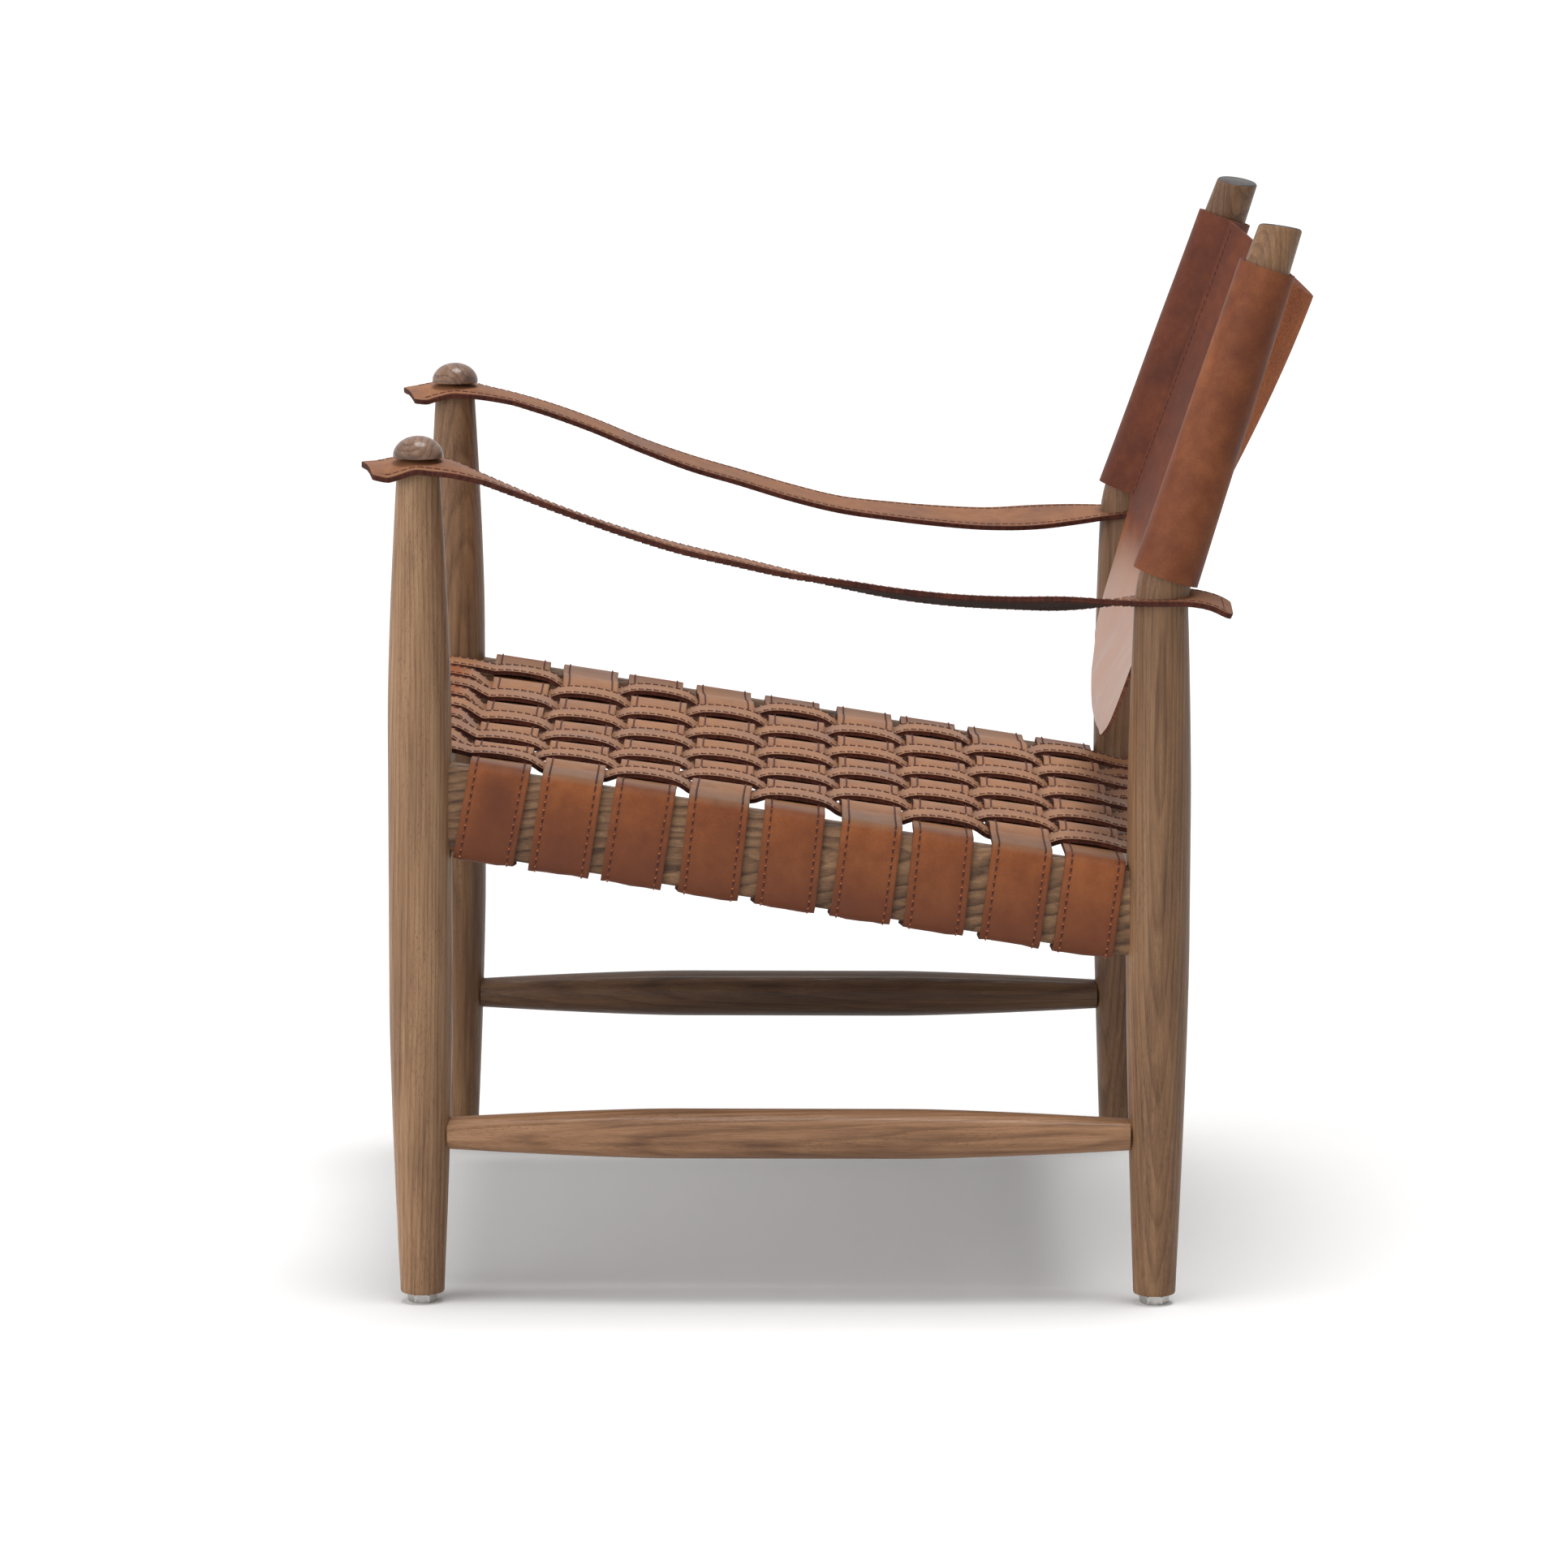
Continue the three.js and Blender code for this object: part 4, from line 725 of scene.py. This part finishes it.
strap_ring = mirrored(STRAP_HALF)
ring_a, ring_t = strap_ring[None, :, 0], strap_ring[None, :, 1]
seat_stitches = Shell()
for kind in ("cross", "long"):
    for number in range(STRAPS):
        cross = kind == "cross"
        offset = number - MID
        over = 1 if (number % 2 == 0) != cross else -1
        if cross:
            fixed, rails = MIDDLE_U + offset * CROSS_PITCH, (-LEG_X, LEG_X)
            course = strap_course(rails, 0, LONG_PITCH, CROSS_WAVE, CROSS_RISE, over,
                                  lambda x: sag_at(x, fixed))
        else:
            fixed, rails = offset * LONG_PITCH, RAIL_U
            course = strap_course(rails, MIDDLE_U, CROSS_PITCH, LONG_WAVE, LONG_RISE, over,
                                  lambda u: sag_at(fixed, u))
        place, height = course[:, 0], course[:, 1]
        normals = band_normals(course)
        beyond = (place < rails[0]) | (place > rails[1])
        foot = smooth_step((-height - 50) / 12)[:, None] * beyond[:, None]
        drift = rng.uniform(-1.5, 1.5, 4)
        near = (WRAP_TOP[number], WRAP_FOOT[number]) if cross else drift[:2]
        far = (WRAP_FAR[number], WRAP_FAR[number] + drift[2]) if cross else drift[2:]
        slide = wrap_slide(course, rails, far, near)[:, None]
        phase = rng.uniform(0, 2 * pi, 3)
        tilt = np.interp(offset, [-MID, 0, MID], LONG_TILT)

        def curl(a):
            """How far the strap stands off under the rail, uneven across its width."""
            waves = ((1.0, 0.11, phase[0]), (0.6, 0.27, phase[1]), (0.3, 0.7, phase[2]))
            return 0.7 + 0.4 * sum(size * np.sin(pace * a + at) for size, pace, at in waves)

        def strap_place(a, t):
            """Points of the strap at a from its middle line and t out of its middle sheet."""
            t = t + foot * curl(a)
            p = place[:, None] + normals[:, None, 0] * t
            w = height[:, None] + normals[:, None, 1] * t
            if cross:
                w = w + sag_at(place[:, None], fixed) - sag_at(place[:, None], fixed + a)
                return seat_place(p, fixed + a + slide, w)
            w = w + tilt * (sag_at(fixed, place[:, None]) - sag_at(fixed + a, place[:, None]))
            return seat_place(fixed + a + slide, p, w)

        rings = strap_place(ring_a, ring_t)
        tone = rng.uniform(0, 900)
        grain = joined(run_along(course)[:, None] + tone, ring_a, tone)
        # Mark 0 paints a sheen on the seat's top; down the wraps it goes to plain, then to the deep colour
        # at their feet.
        depth = np.interp(-height, [-2.1, 1.5, 60], [0, PLAIN, 1]) * beyond
        # These straps lose the painted sheen as they near their rail.
        if over < 0:
            outward = np.abs(place - sum(rails) / 2) - (rails[1] - rails[0]) / 2
            depth = np.maximum(depth, PLAIN * smooth_step((outward + 16) / 12))
        mark = np.broadcast_to(depth[:, None], rings.shape[:2])
        if cross and number == 0:
            stain = np.exp(-((height[:, None] + 22) / 20) ** 2 - ((ring_a - 3) / 11) ** 2)
            mark = np.minimum(mark + 0.9 * stain * (place[:, None] > rails[1]), 1)
        faces = sweep(rings)
        shell = Shell()
        shell.add(rings, faces, grain, mark, band_kinds(strap_ring, 22, len(faces)))
        make(f"{kind}_strap_{number + 1}_stitched", shell, [strap_hide, strap_flesh, strap_edge_and_shade],
             "strap_leather", [f"{kind}_strap_{number + 1}"], sharp=50)
        for row in (-STRAP_ROW, STRAP_ROW):
            row = np.array([[row]])
            path, above = (strap_place(row, STRAP_GROOVE + out)[:, 0] for out in (0, 1))
            # The threads' painted highlights are brighter down the wraps than on the seat's top.
            stitch_run(seat_stitches, path, above - path, start=rng.uniform(0, 3),
                       glint=np.clip(depth * 8 - 2.0, 0.02, 0.66))
make("seat_stitching", seat_stitches, [seam_thread], sharp=80)

# Arm straps
# Course of their middle lines: heights, and rolls in degrees, at the places ARM_Y
ARM_Y = [-313.6, -303, -290, -271, -258, -248, -228, -200, -160, -120, -80, -40, 0, 40, 80, 120, 160,
         200, 233, 256, 271, 290, 307, 322]
ARM_COURSES = {
    "left": ([620.6, 620.4, 622.1, 625.3, 624, 621.6, 614, 602.4, 586.9, 573.1, 561.3, 552.1, 542.9,
              535.4, 528.5, 524.1, 522.2, 521.8, 522.5, 524, 525, 526.4, 523.4, 517],
             [0, -2, -4, 0, -1, -0.4, 2.8, 4.5, 5.4, 4.4, 3, 3, 4.5, 9.5, 11.9, 12.7, 13.4, 14.5, 8, 2,
              -0.5, -4.5, -5, -7.7]),
    "right": ([619.5, 620.4, 622.5, 625.3, 623.8, 621.4, 616.3, 607.7, 593.5, 577, 562.6, 551, 539.1,
               529.4, 524.2, 520.3, 518.1, 519.5, 521.9, 523.4, 524, 525.6, 522.6, 517],
              [0, 2, 3, 0.5, 0, -0.6, 0.5, 2.7, 3.3, 3.7, 5.2, 5.4, 6.1, 6.2, 7.8, 9.6, 11.4, 13.2, 9,
               4, 1, -3, -4, -6]),
}


def spline(knots, values, at):
    """Smooth curve through knots; its slope at each comes from the knots beside it."""
    slopes = np.gradient(values, knots)
    k = np.clip(np.searchsorted(knots, at) - 1, 0, len(knots) - 2)
    width = knots[k + 1] - knots[k]
    t = (at - knots[k]) / width
    a, b = values[k], values[k + 1]
    return ((2 * t**3 - 3 * t**2 + 1) * a + (t**3 - 2 * t**2 + t) * width * slopes[k]
            + (3 * t**2 - 2 * t**3) * b + (t**3 - t**2) * width * slopes[k + 1])


ARM_LOW, ARM_NOSE, ARM_TAIL, ARM_HALF = -313.55, -308.6, 312.0, 25.0
ARM_ROW, ARM_GROOVE, ARM_THREAD = 0.82, 1.92, {"wide": 0.55, "high": 0.28}
# Slanted cut of the nose: how much at the middle line, from where and over what length
NOSE_CUT, NOSE_FROM, NOSE_RUN = 5.2, -284, 26
# How far each near edge hangs down at a place along the strap
ARM_DROOP = ([-314, -298, -262, -245, -222, -195], [5.0, 6.2, 5.8, 3.8, 1.0, 0])
# Right half of its section: share of the half width, and height
ARM_SECTION = [(0, 2.2), (0.5, 2.2), (0.77, 2.15), (0.8, 2.0), (ARM_ROW, 1.92), (0.84, 2.0), (0.87, 2.14),
               (0.95, 2.12), (0.98, 1.95), (0.992, 1.7), (1.0, 1.4), (1.0, 0.5), (0.99, 0.0)]


def arm_half_width(y):
    """Half of the strap's width, less towards its rounded nose and tail."""
    half = np.full(y.shape, ARM_HALF)
    for end, beyond, least, reach in ((ARM_NOSE, y < ARM_NOSE, 20, 5.0),
                                      (ARM_TAIL, y > ARM_TAIL, 15, 10.0)):
        off = (y[beyond] - end) / reach
        half[beyond] = least + (ARM_HALF - least) * np.sqrt(np.clip(1 - off ** 2, 0, 1))
    return half


arm_ring = mirrored(ARM_SECTION)
for label, side in sides:
    knots = np.array(ARM_Y, float)
    heights, rolls = np.array(ARM_COURSES[label], float)
    ease = (1 - np.cos(np.linspace(0, pi, 14))) / 2
    y = np.concatenate([ARM_LOW + 16 * ease[:-1], np.linspace(-297.5, ARM_TAIL, 210),
                        ARM_TAIL + 9.9 * (1 - ease[::-1])[1:]])
    y = np.unique(np.round(y, 3))
    z, roll = spline(knots, heights, y), np.radians(spline(knots, rolls, y))
    run = unit(joined(0.0, 1.0, np.gradient(z, y)))
    across = joined(side * np.cos(roll), 0.0, np.sin(roll))
    up = unit(np.cross(across, run)) * side
    centre = joined(side * LEG_X, y, z)
    half = arm_half_width(y)[:, None]
    droop = np.interp(y, *ARM_DROOP)[:, None]
    nose_cut = NOSE_CUT * smooth_step((NOSE_FROM - y) / NOSE_RUN)[:, None]

    def arm_place(a, t):
        """Points of the strap at the share a of its half width and t out of its middle sheet."""
        t = t - droop * np.clip(a * side, 0, 1) ** 1.6
        back = (nose_cut * (a * side + 1))[..., None] * np.array([0.0, 1, 0])
        wide = a * half
        return back + centre[:, None] + across[:, None] * wide[..., None] + up[:, None] * (
            t * np.ones_like(wide))[..., None]

    rings = arm_place(arm_ring[None, :, 0], arm_ring[None, :, 1])
    grain = joined(run_along(centre)[:, None] + 300 * side, arm_ring[None, :, 0] * ARM_HALF,
                   side * 200.0)
    kinds = band_kinds(arm_ring, 0.96, len(sweep(rings)))
    stand_in(f"arm_strap_{label}", "stitched", rings, grain, [arm_hide, arm_flesh, strap_edge_and_shade],
             "strap_leather", kinds, sharp=50)
    arm_stitches = Shell()
    keep = slice(8, -6)
    for row in (-ARM_ROW, ARM_ROW):
        # Threads on the top face get a faint painted highlight, those beneath none.
        for face, glint in ((1, 0.2), (-1, 0.0)):
            path = arm_place(np.full((1, 1), row), face * ARM_GROOVE)[keep, 0]
            stitch_run(arm_stitches, path, face * up[keep], glint=glint, **ARM_THREAD)
    tail_row = -9
    for face in (1, -1):
        path = arm_place(np.linspace(-ARM_ROW, ARM_ROW, 16)[None], face * ARM_GROOVE)[tail_row]
        stitch_run(arm_stitches, path, np.tile(face * up[tail_row], (16, 1)), glint=0.2, **ARM_THREAD)
    make(f"arm_strap_{label}_stitching", arm_stitches, [seam_thread], sharp=80)

# Knobs and feet
KNOB_BASE, KNOB_RIM, KNOB_R, KNOB_HIGH = 627.8, 1.3, 18.4, 16.0
arc = np.linspace(0, 1, 22)[:-1] * pi / 2
knob_z = KNOB_BASE + np.concatenate([[0, 0.15, 0.7, KNOB_RIM],
                                     KNOB_RIM + (KNOB_HIGH - KNOB_RIM) * np.sin(arc[1:]), [KNOB_HIGH]])
knob_r = np.concatenate([[17.9, 18.3, 18.5, KNOB_R], KNOB_R * np.cos(arc[1:]), [0.6]])
for label, side in sides:
    rings = upright(side * LEG_X, -LEG_Y, knob_z, knob_r, 72)
    grain = wood_grain(rings, (side * LEG_X, -LEG_Y, KNOB_BASE), 20, 0.1, side, "x")
    stand_in(f"arm_knob_{label}", "turned", rings, grain, [knob_wood], "knob_wood")

# A foot's height and greatest radius from its pad up to its stud, within its hexagon
FOOT = [(0.0, 9.0), (0.25, 9.7), (1.1, 10.9), (6.1, 10.95), (6.9, 10.1), (7.2, 9.3), (7.2, 3.9),
        (31.5, 3.9)]
HEX_FLAT = 9.5
hex_angle = np.arange(72) / 72 * 2 * pi
hex_radius = HEX_FLAT / np.cos((hex_angle + pi / 6) % (pi / 3) - pi / 6)
foot_z = np.array([height for height, _ in FOOT])
foot_r = np.array([np.minimum(hex_radius, radius) for _, radius in FOOT])
for end, y in (("front", -LEG_Y), ("rear", LEG_Y)):
    for label, side in sides:
        node = f"leveller_{end}_{label}"
        rings = upright(side * LEG_X, y, foot_z, foot_r, 72)
        stand_in(node, "hex", rings, None, [steel], "foot_steel", body=node, sharp=25)
for name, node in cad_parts.items():
    if name.startswith(("knob_stud", "leveller_insert")):
        node.data.materials.clear()
        node.data.materials.append(steel if name.startswith("knob") else brass)

# Sling
SLING_SAG, SAG_FROM, SAG_SPAN = 60.5, 129.4, 380.0
FLAP_LONG, FLAP_BACK, FLAP_SKEW = 140.4, 5.0, 0.018
TIP, SEAM, SLEEVE_SIDES, TOP_DIP = 10.0, 3.5, 72, 22


def sleeve_radius(s):
    share = np.clip((s - SLEEVE_LOW) / SLEEVE_LONG, 0, 1)
    return SLEEVE_LOW_R + (SLEEVE_TOP_R - SLEEVE_LOW_R) * share


def panel_n(x, s):
    """How far the sling's middle sheet hangs behind the posts' plane; least at the flap's tip."""
    sag = SLING_SAG * np.sin(np.maximum(s - SLEEVE_LOW + SAG_FROM, 0) / SAG_SPAN * pi / 2)
    reach = LEG_X - s * TOE - sleeve_radius(s)
    share = np.clip(np.abs(x) / reach, 0, 1)
    below = np.maximum(SLEEVE_LOW - s, 0) / FLAP_LONG
    return sag * (1 - share ** 2) + below * (FLAP_BACK - FLAP_SKEW * x)


sling = Shell()
sling_stitches = Shell()
for label, side in sides:
    s = np.linspace(SLEEVE_LOW, SLEEVE_TOP, 70)
    rows, count = len(s), SLEEVE_SIDES
    radius, centre_x = sleeve_radius(s), LEG_X - s * TOE
    tip = radius + TIP
    lean = np.arcsin(np.clip(panel_n(centre_x - tip, s) / tip, -0.5, 0.5))
    touch = np.arccos(radius / tip)
    angle = np.arange(count) / count * 2 * pi - pi
    wall = radius[:, None] / np.cos(np.clip(touch[:, None] - np.abs(angle), 0, None))
    wall = np.minimum(wall, tip[:, None] - 1.2)
    turn = angle[None] - lean[:, None]
    slack = 0.25 * np.sin(2 * angle[None] + 0.02 * s[:, None]) * np.sin(s[:, None] / 47.0)

    def sleeve_ring(reach):
        """Points of a sleeve at its reach from the middle of the post."""
        x = centre_x[:, None] - reach * np.cos(turn)
        return back_place(side * x, -reach * np.sin(turn), s[:, None])

    outer, inner = sleeve_ring(wall + slack), sleeve_ring(radius[:, None] - SLING_THICK + slack)
    grain = joined(s[:, None] + 500 * side, wall * np.cos(turn), wall * np.sin(turn))
    walls = ring_faces(rows, count)
    inward = rows * count
    faces = walls + [[v + inward for v in face[::-1]] for face in walls]
    for row in (0, rows - 1):
        for k in range(count):
            a, b = row * count + k, row * count + (k + 1) % count
            face = [a, a + inward, b + inward, b]
            faces.append(face if row == 0 else [face[0], face[3], face[2], face[1]])
    kinds = [0] * len(walls) + [1] * len(walls) + [2] * (2 * count)
    # The far sleeve takes the low mark: painted shade.
    mark = np.full(2 * inward, PLAIN if side > 0 else 0.0)
    sling.add([outer, inner], faces, [grain, grain], mark, kinds)
    seam_x = centre_x - tip - SEAM
    seam_n = panel_n(seam_x, s)
    for face in (1, -1):
        seam = back_place(side * seam_x, seam_n - face * (SLING_THICK / 2 + 0.1), s)
        out = back_place(side * seam_x, seam_n - face * 9, s) - seam
        stitch_run(sling_stitches, seam, out, wide=0.52, high=0.24)

# Rim of the flap as (x, s), from one sleeve's low end to the other's
OUTLINE = [(-254, 0), (-257, -50), (-257, -80), (-246, -97), (-202, -108), (-133, -119), (-59, -127),
           (10, -131), (80, -131), (159, -128), (226, -122), (250, -110), (257, -88), (257, -50), (254, 0)]
outline = np.array(OUTLINE, float)
knots = run_along(outline)


def outline_at(share):
    """Points of the flap's rim at shares of its length."""
    at = np.clip(share, 0, 1) * knots[-1]
    return joined(*(spline(knots, column, at) for column in outline.T))


# The panel's rows: between the sleeves, below them, and down the flap
cols = 81
a = np.linspace(-1, 1, cols)
grid = []
for v in np.linspace(0, 1, 60):
    s = SLEEVE_TOP - SLEEVE_LONG * v
    half = LEG_X - s * TOE - sleeve_radius(s) - TIP + 5
    dip = TOP_DIP * (1 - a ** 2) * (1 - v) ** 1.5
    grid.append(joined(a * half, s - dip))
for s, half in ((8.8, 262.0), (6.5, 257.5), (3.5, 255.0)):
    grid.append(joined(a * half, s))
corner = 0.135
share = ((a + 1) / 2)[:, None]
top = joined(a * OUTLINE[-1][0], 0.0)
bottom = outline_at(corner + (1 - 2 * corner) * share[:, 0])
for q in np.linspace(0, 1, 34):
    west, east = outline_at(np.array([corner * q, 1 - corner * q]))
    line = (1 - q) * top + q * bottom
    grid.append(line + (1 - share) * (west - line[0]) + share * (east - line[-1]))
gx, gs = np.moveaxis(np.array(grid), -1, 0)
gn = panel_n(gx, gs)
middle = back_place(gx, gn, gs)
normal = unit(np.cross(np.gradient(middle, axis=1), np.gradient(middle, axis=0)))
normal = normal * -np.sign(normal[20, 40, 1])
flap = smooth_step((8 - gs) / 62)
# The panel's far part takes the low mark, painted shade; the flap goes to the deep mark, partly painted
# sheen.
panel_mark = PLAIN * smooth_step((gx + 150) / 260) * (1 - flap) + flap
thick_sheet(sling, middle + normal * SLING_THICK / 2, middle - normal * SLING_THICK / 2,
            joined(gx, gs, 40.0), panel_mark)
sling_piece = make("back_sling_leather", sling, [sling_hide, sling_suede, sling_edge], "sling_leather",
                   ["back_sling"], sharp=50)
make("sling_stitching", sling_stitches, [seam_thread], sharp=80)

# Floor, light and camera


def seen_rays(nodes):
    """1 for rays by which the background is seen, directly, in a reflection or through glass."""
    rays = nodes.add("LightPath").outputs
    seen = nodes.math("MAXIMUM", rays["Is Camera Ray"], rays["Is Glossy Ray"])
    return nodes.math("MAXIMUM", seen, rays["Is Transmission Ray"])


def floor_material():
    """White where it is lit and seen; greyer in the light that it throws back."""
    material = bpy.data.materials.new("floor_paint")
    material.use_nodes = True
    nodes = Nodes(material.node_tree)
    seen = seen_rays(nodes)
    tone = nodes.span(seen, 0, 1, 0.55, 0.96)
    colour = nodes.add("CombineColor", {0: tone, 1: tone, 2: tone}).outputs[0]
    diffuse = nodes.add("BsdfDiffuse", {"Color": colour}).outputs[0]
    glow = nodes.add("Emission", {"Strength": nodes.math("MULTIPLY", seen, 0.05)}).outputs[0]
    nodes.add("OutputMaterial", {"Surface": nodes.add("AddShader", {0: diffuse, 1: glow}).outputs[0]})
    return material


far = 30.0
floor_mesh = bpy.data.meshes.new("floor")
floor_mesh.from_pydata([(-far, -far, 0), (far, -far, 0), (far, far, 0), (-far, far, 0)], [],
                       [(0, 1, 2, 3)])
floor_mesh.materials.append(floor_material())
floor = placed("floor", floor_mesh)

# A white room that lights the chair evenly, and more from one side
FILL, SIDE_LIGHT, SIDE_POWER, SIDE_TOWARD = 0.18, 4.7, 3.0, (0.61, -0.77, -0.18)
world = bpy.data.worlds.new("studio")
bpy.context.scene.world = world
world.use_nodes = True
nodes = Nodes(world.node_tree)
toward = nodes.add("TexCoord").outputs["Generated"]
facing = nodes.add("VectorMath", {0: toward, 1: SIDE_TOWARD}, operation="DOT_PRODUCT").outputs["Value"]
facing = nodes.math("POWER", nodes.math("MAXIMUM", facing, 0.0, clamp=True), SIDE_POWER)
light = nodes.span(facing, 0, 1, FILL, FILL + SIDE_LIGHT)
strength = nodes.span(seen_rays(nodes), 0, 1, light, 1.0)
room = nodes.add("Background", {"Color": (1, 1, 1, 1), "Strength": strength}).outputs[0]
nodes.add("OutputWorld", {"Surface": room})

# A far, broad light from above; level 1 alone renders a facing colour as it is written
TOP_LEVEL, TOP_SPREAD, TOP_TOWARD = 0.74, 31, (0.0, 0.1, 1)
lamp = bpy.data.lights.new("top_light", "SUN")
lamp.energy, lamp.angle = TOP_LEVEL * pi, radians(TOP_SPREAD)
top_light = placed("top_light", lamp)
top_light.rotation_mode = "QUATERNION"
top_light.rotation_quaternion = Vector(TOP_TOWARD).to_track_quat("Z", "Y")

# The camera as fitted to the photo: angles, focal length in pixels, frame and place
PITCH, YAW, ROLL = 0.14955, 0.00037, 0.00233
FOCAL_PX, FRAME_PX, SENSOR = 8847.12, 1932, 36.0
CAMERA_X, CAMERA_Y, CAMERA_Z = 5.49655, -2.19, 1.17227
camera_data = bpy.data.cameras.new("camera")
camera = placed("camera", camera_data)
bpy.context.scene.camera = camera
camera_data.sensor_width, camera_data.lens = SENSOR, SENSOR * FOCAL_PX / FRAME_PX
camera_data.clip_start, camera_data.clip_end = 0.1, 100.0
flat = -cos(PITCH)
ahead = Vector((flat * cos(YAW), flat * sin(YAW), -sin(PITCH)))
across = ahead.cross(Vector((0, 0, 1))).normalized()
upward = across.cross(ahead)
right = across * cos(ROLL) + upward * sin(ROLL)
top = upward * cos(ROLL) - across * sin(ROLL)
matrix = Matrix((right, top, -ahead)).transposed().to_4x4()
matrix.translation = Vector((CAMERA_X, (CAMERA_Y + SHIFT_Y) * MM, CAMERA_Z))
camera.matrix_world = matrix

bpy.context.scene.view_settings.view_transform = "Standard"
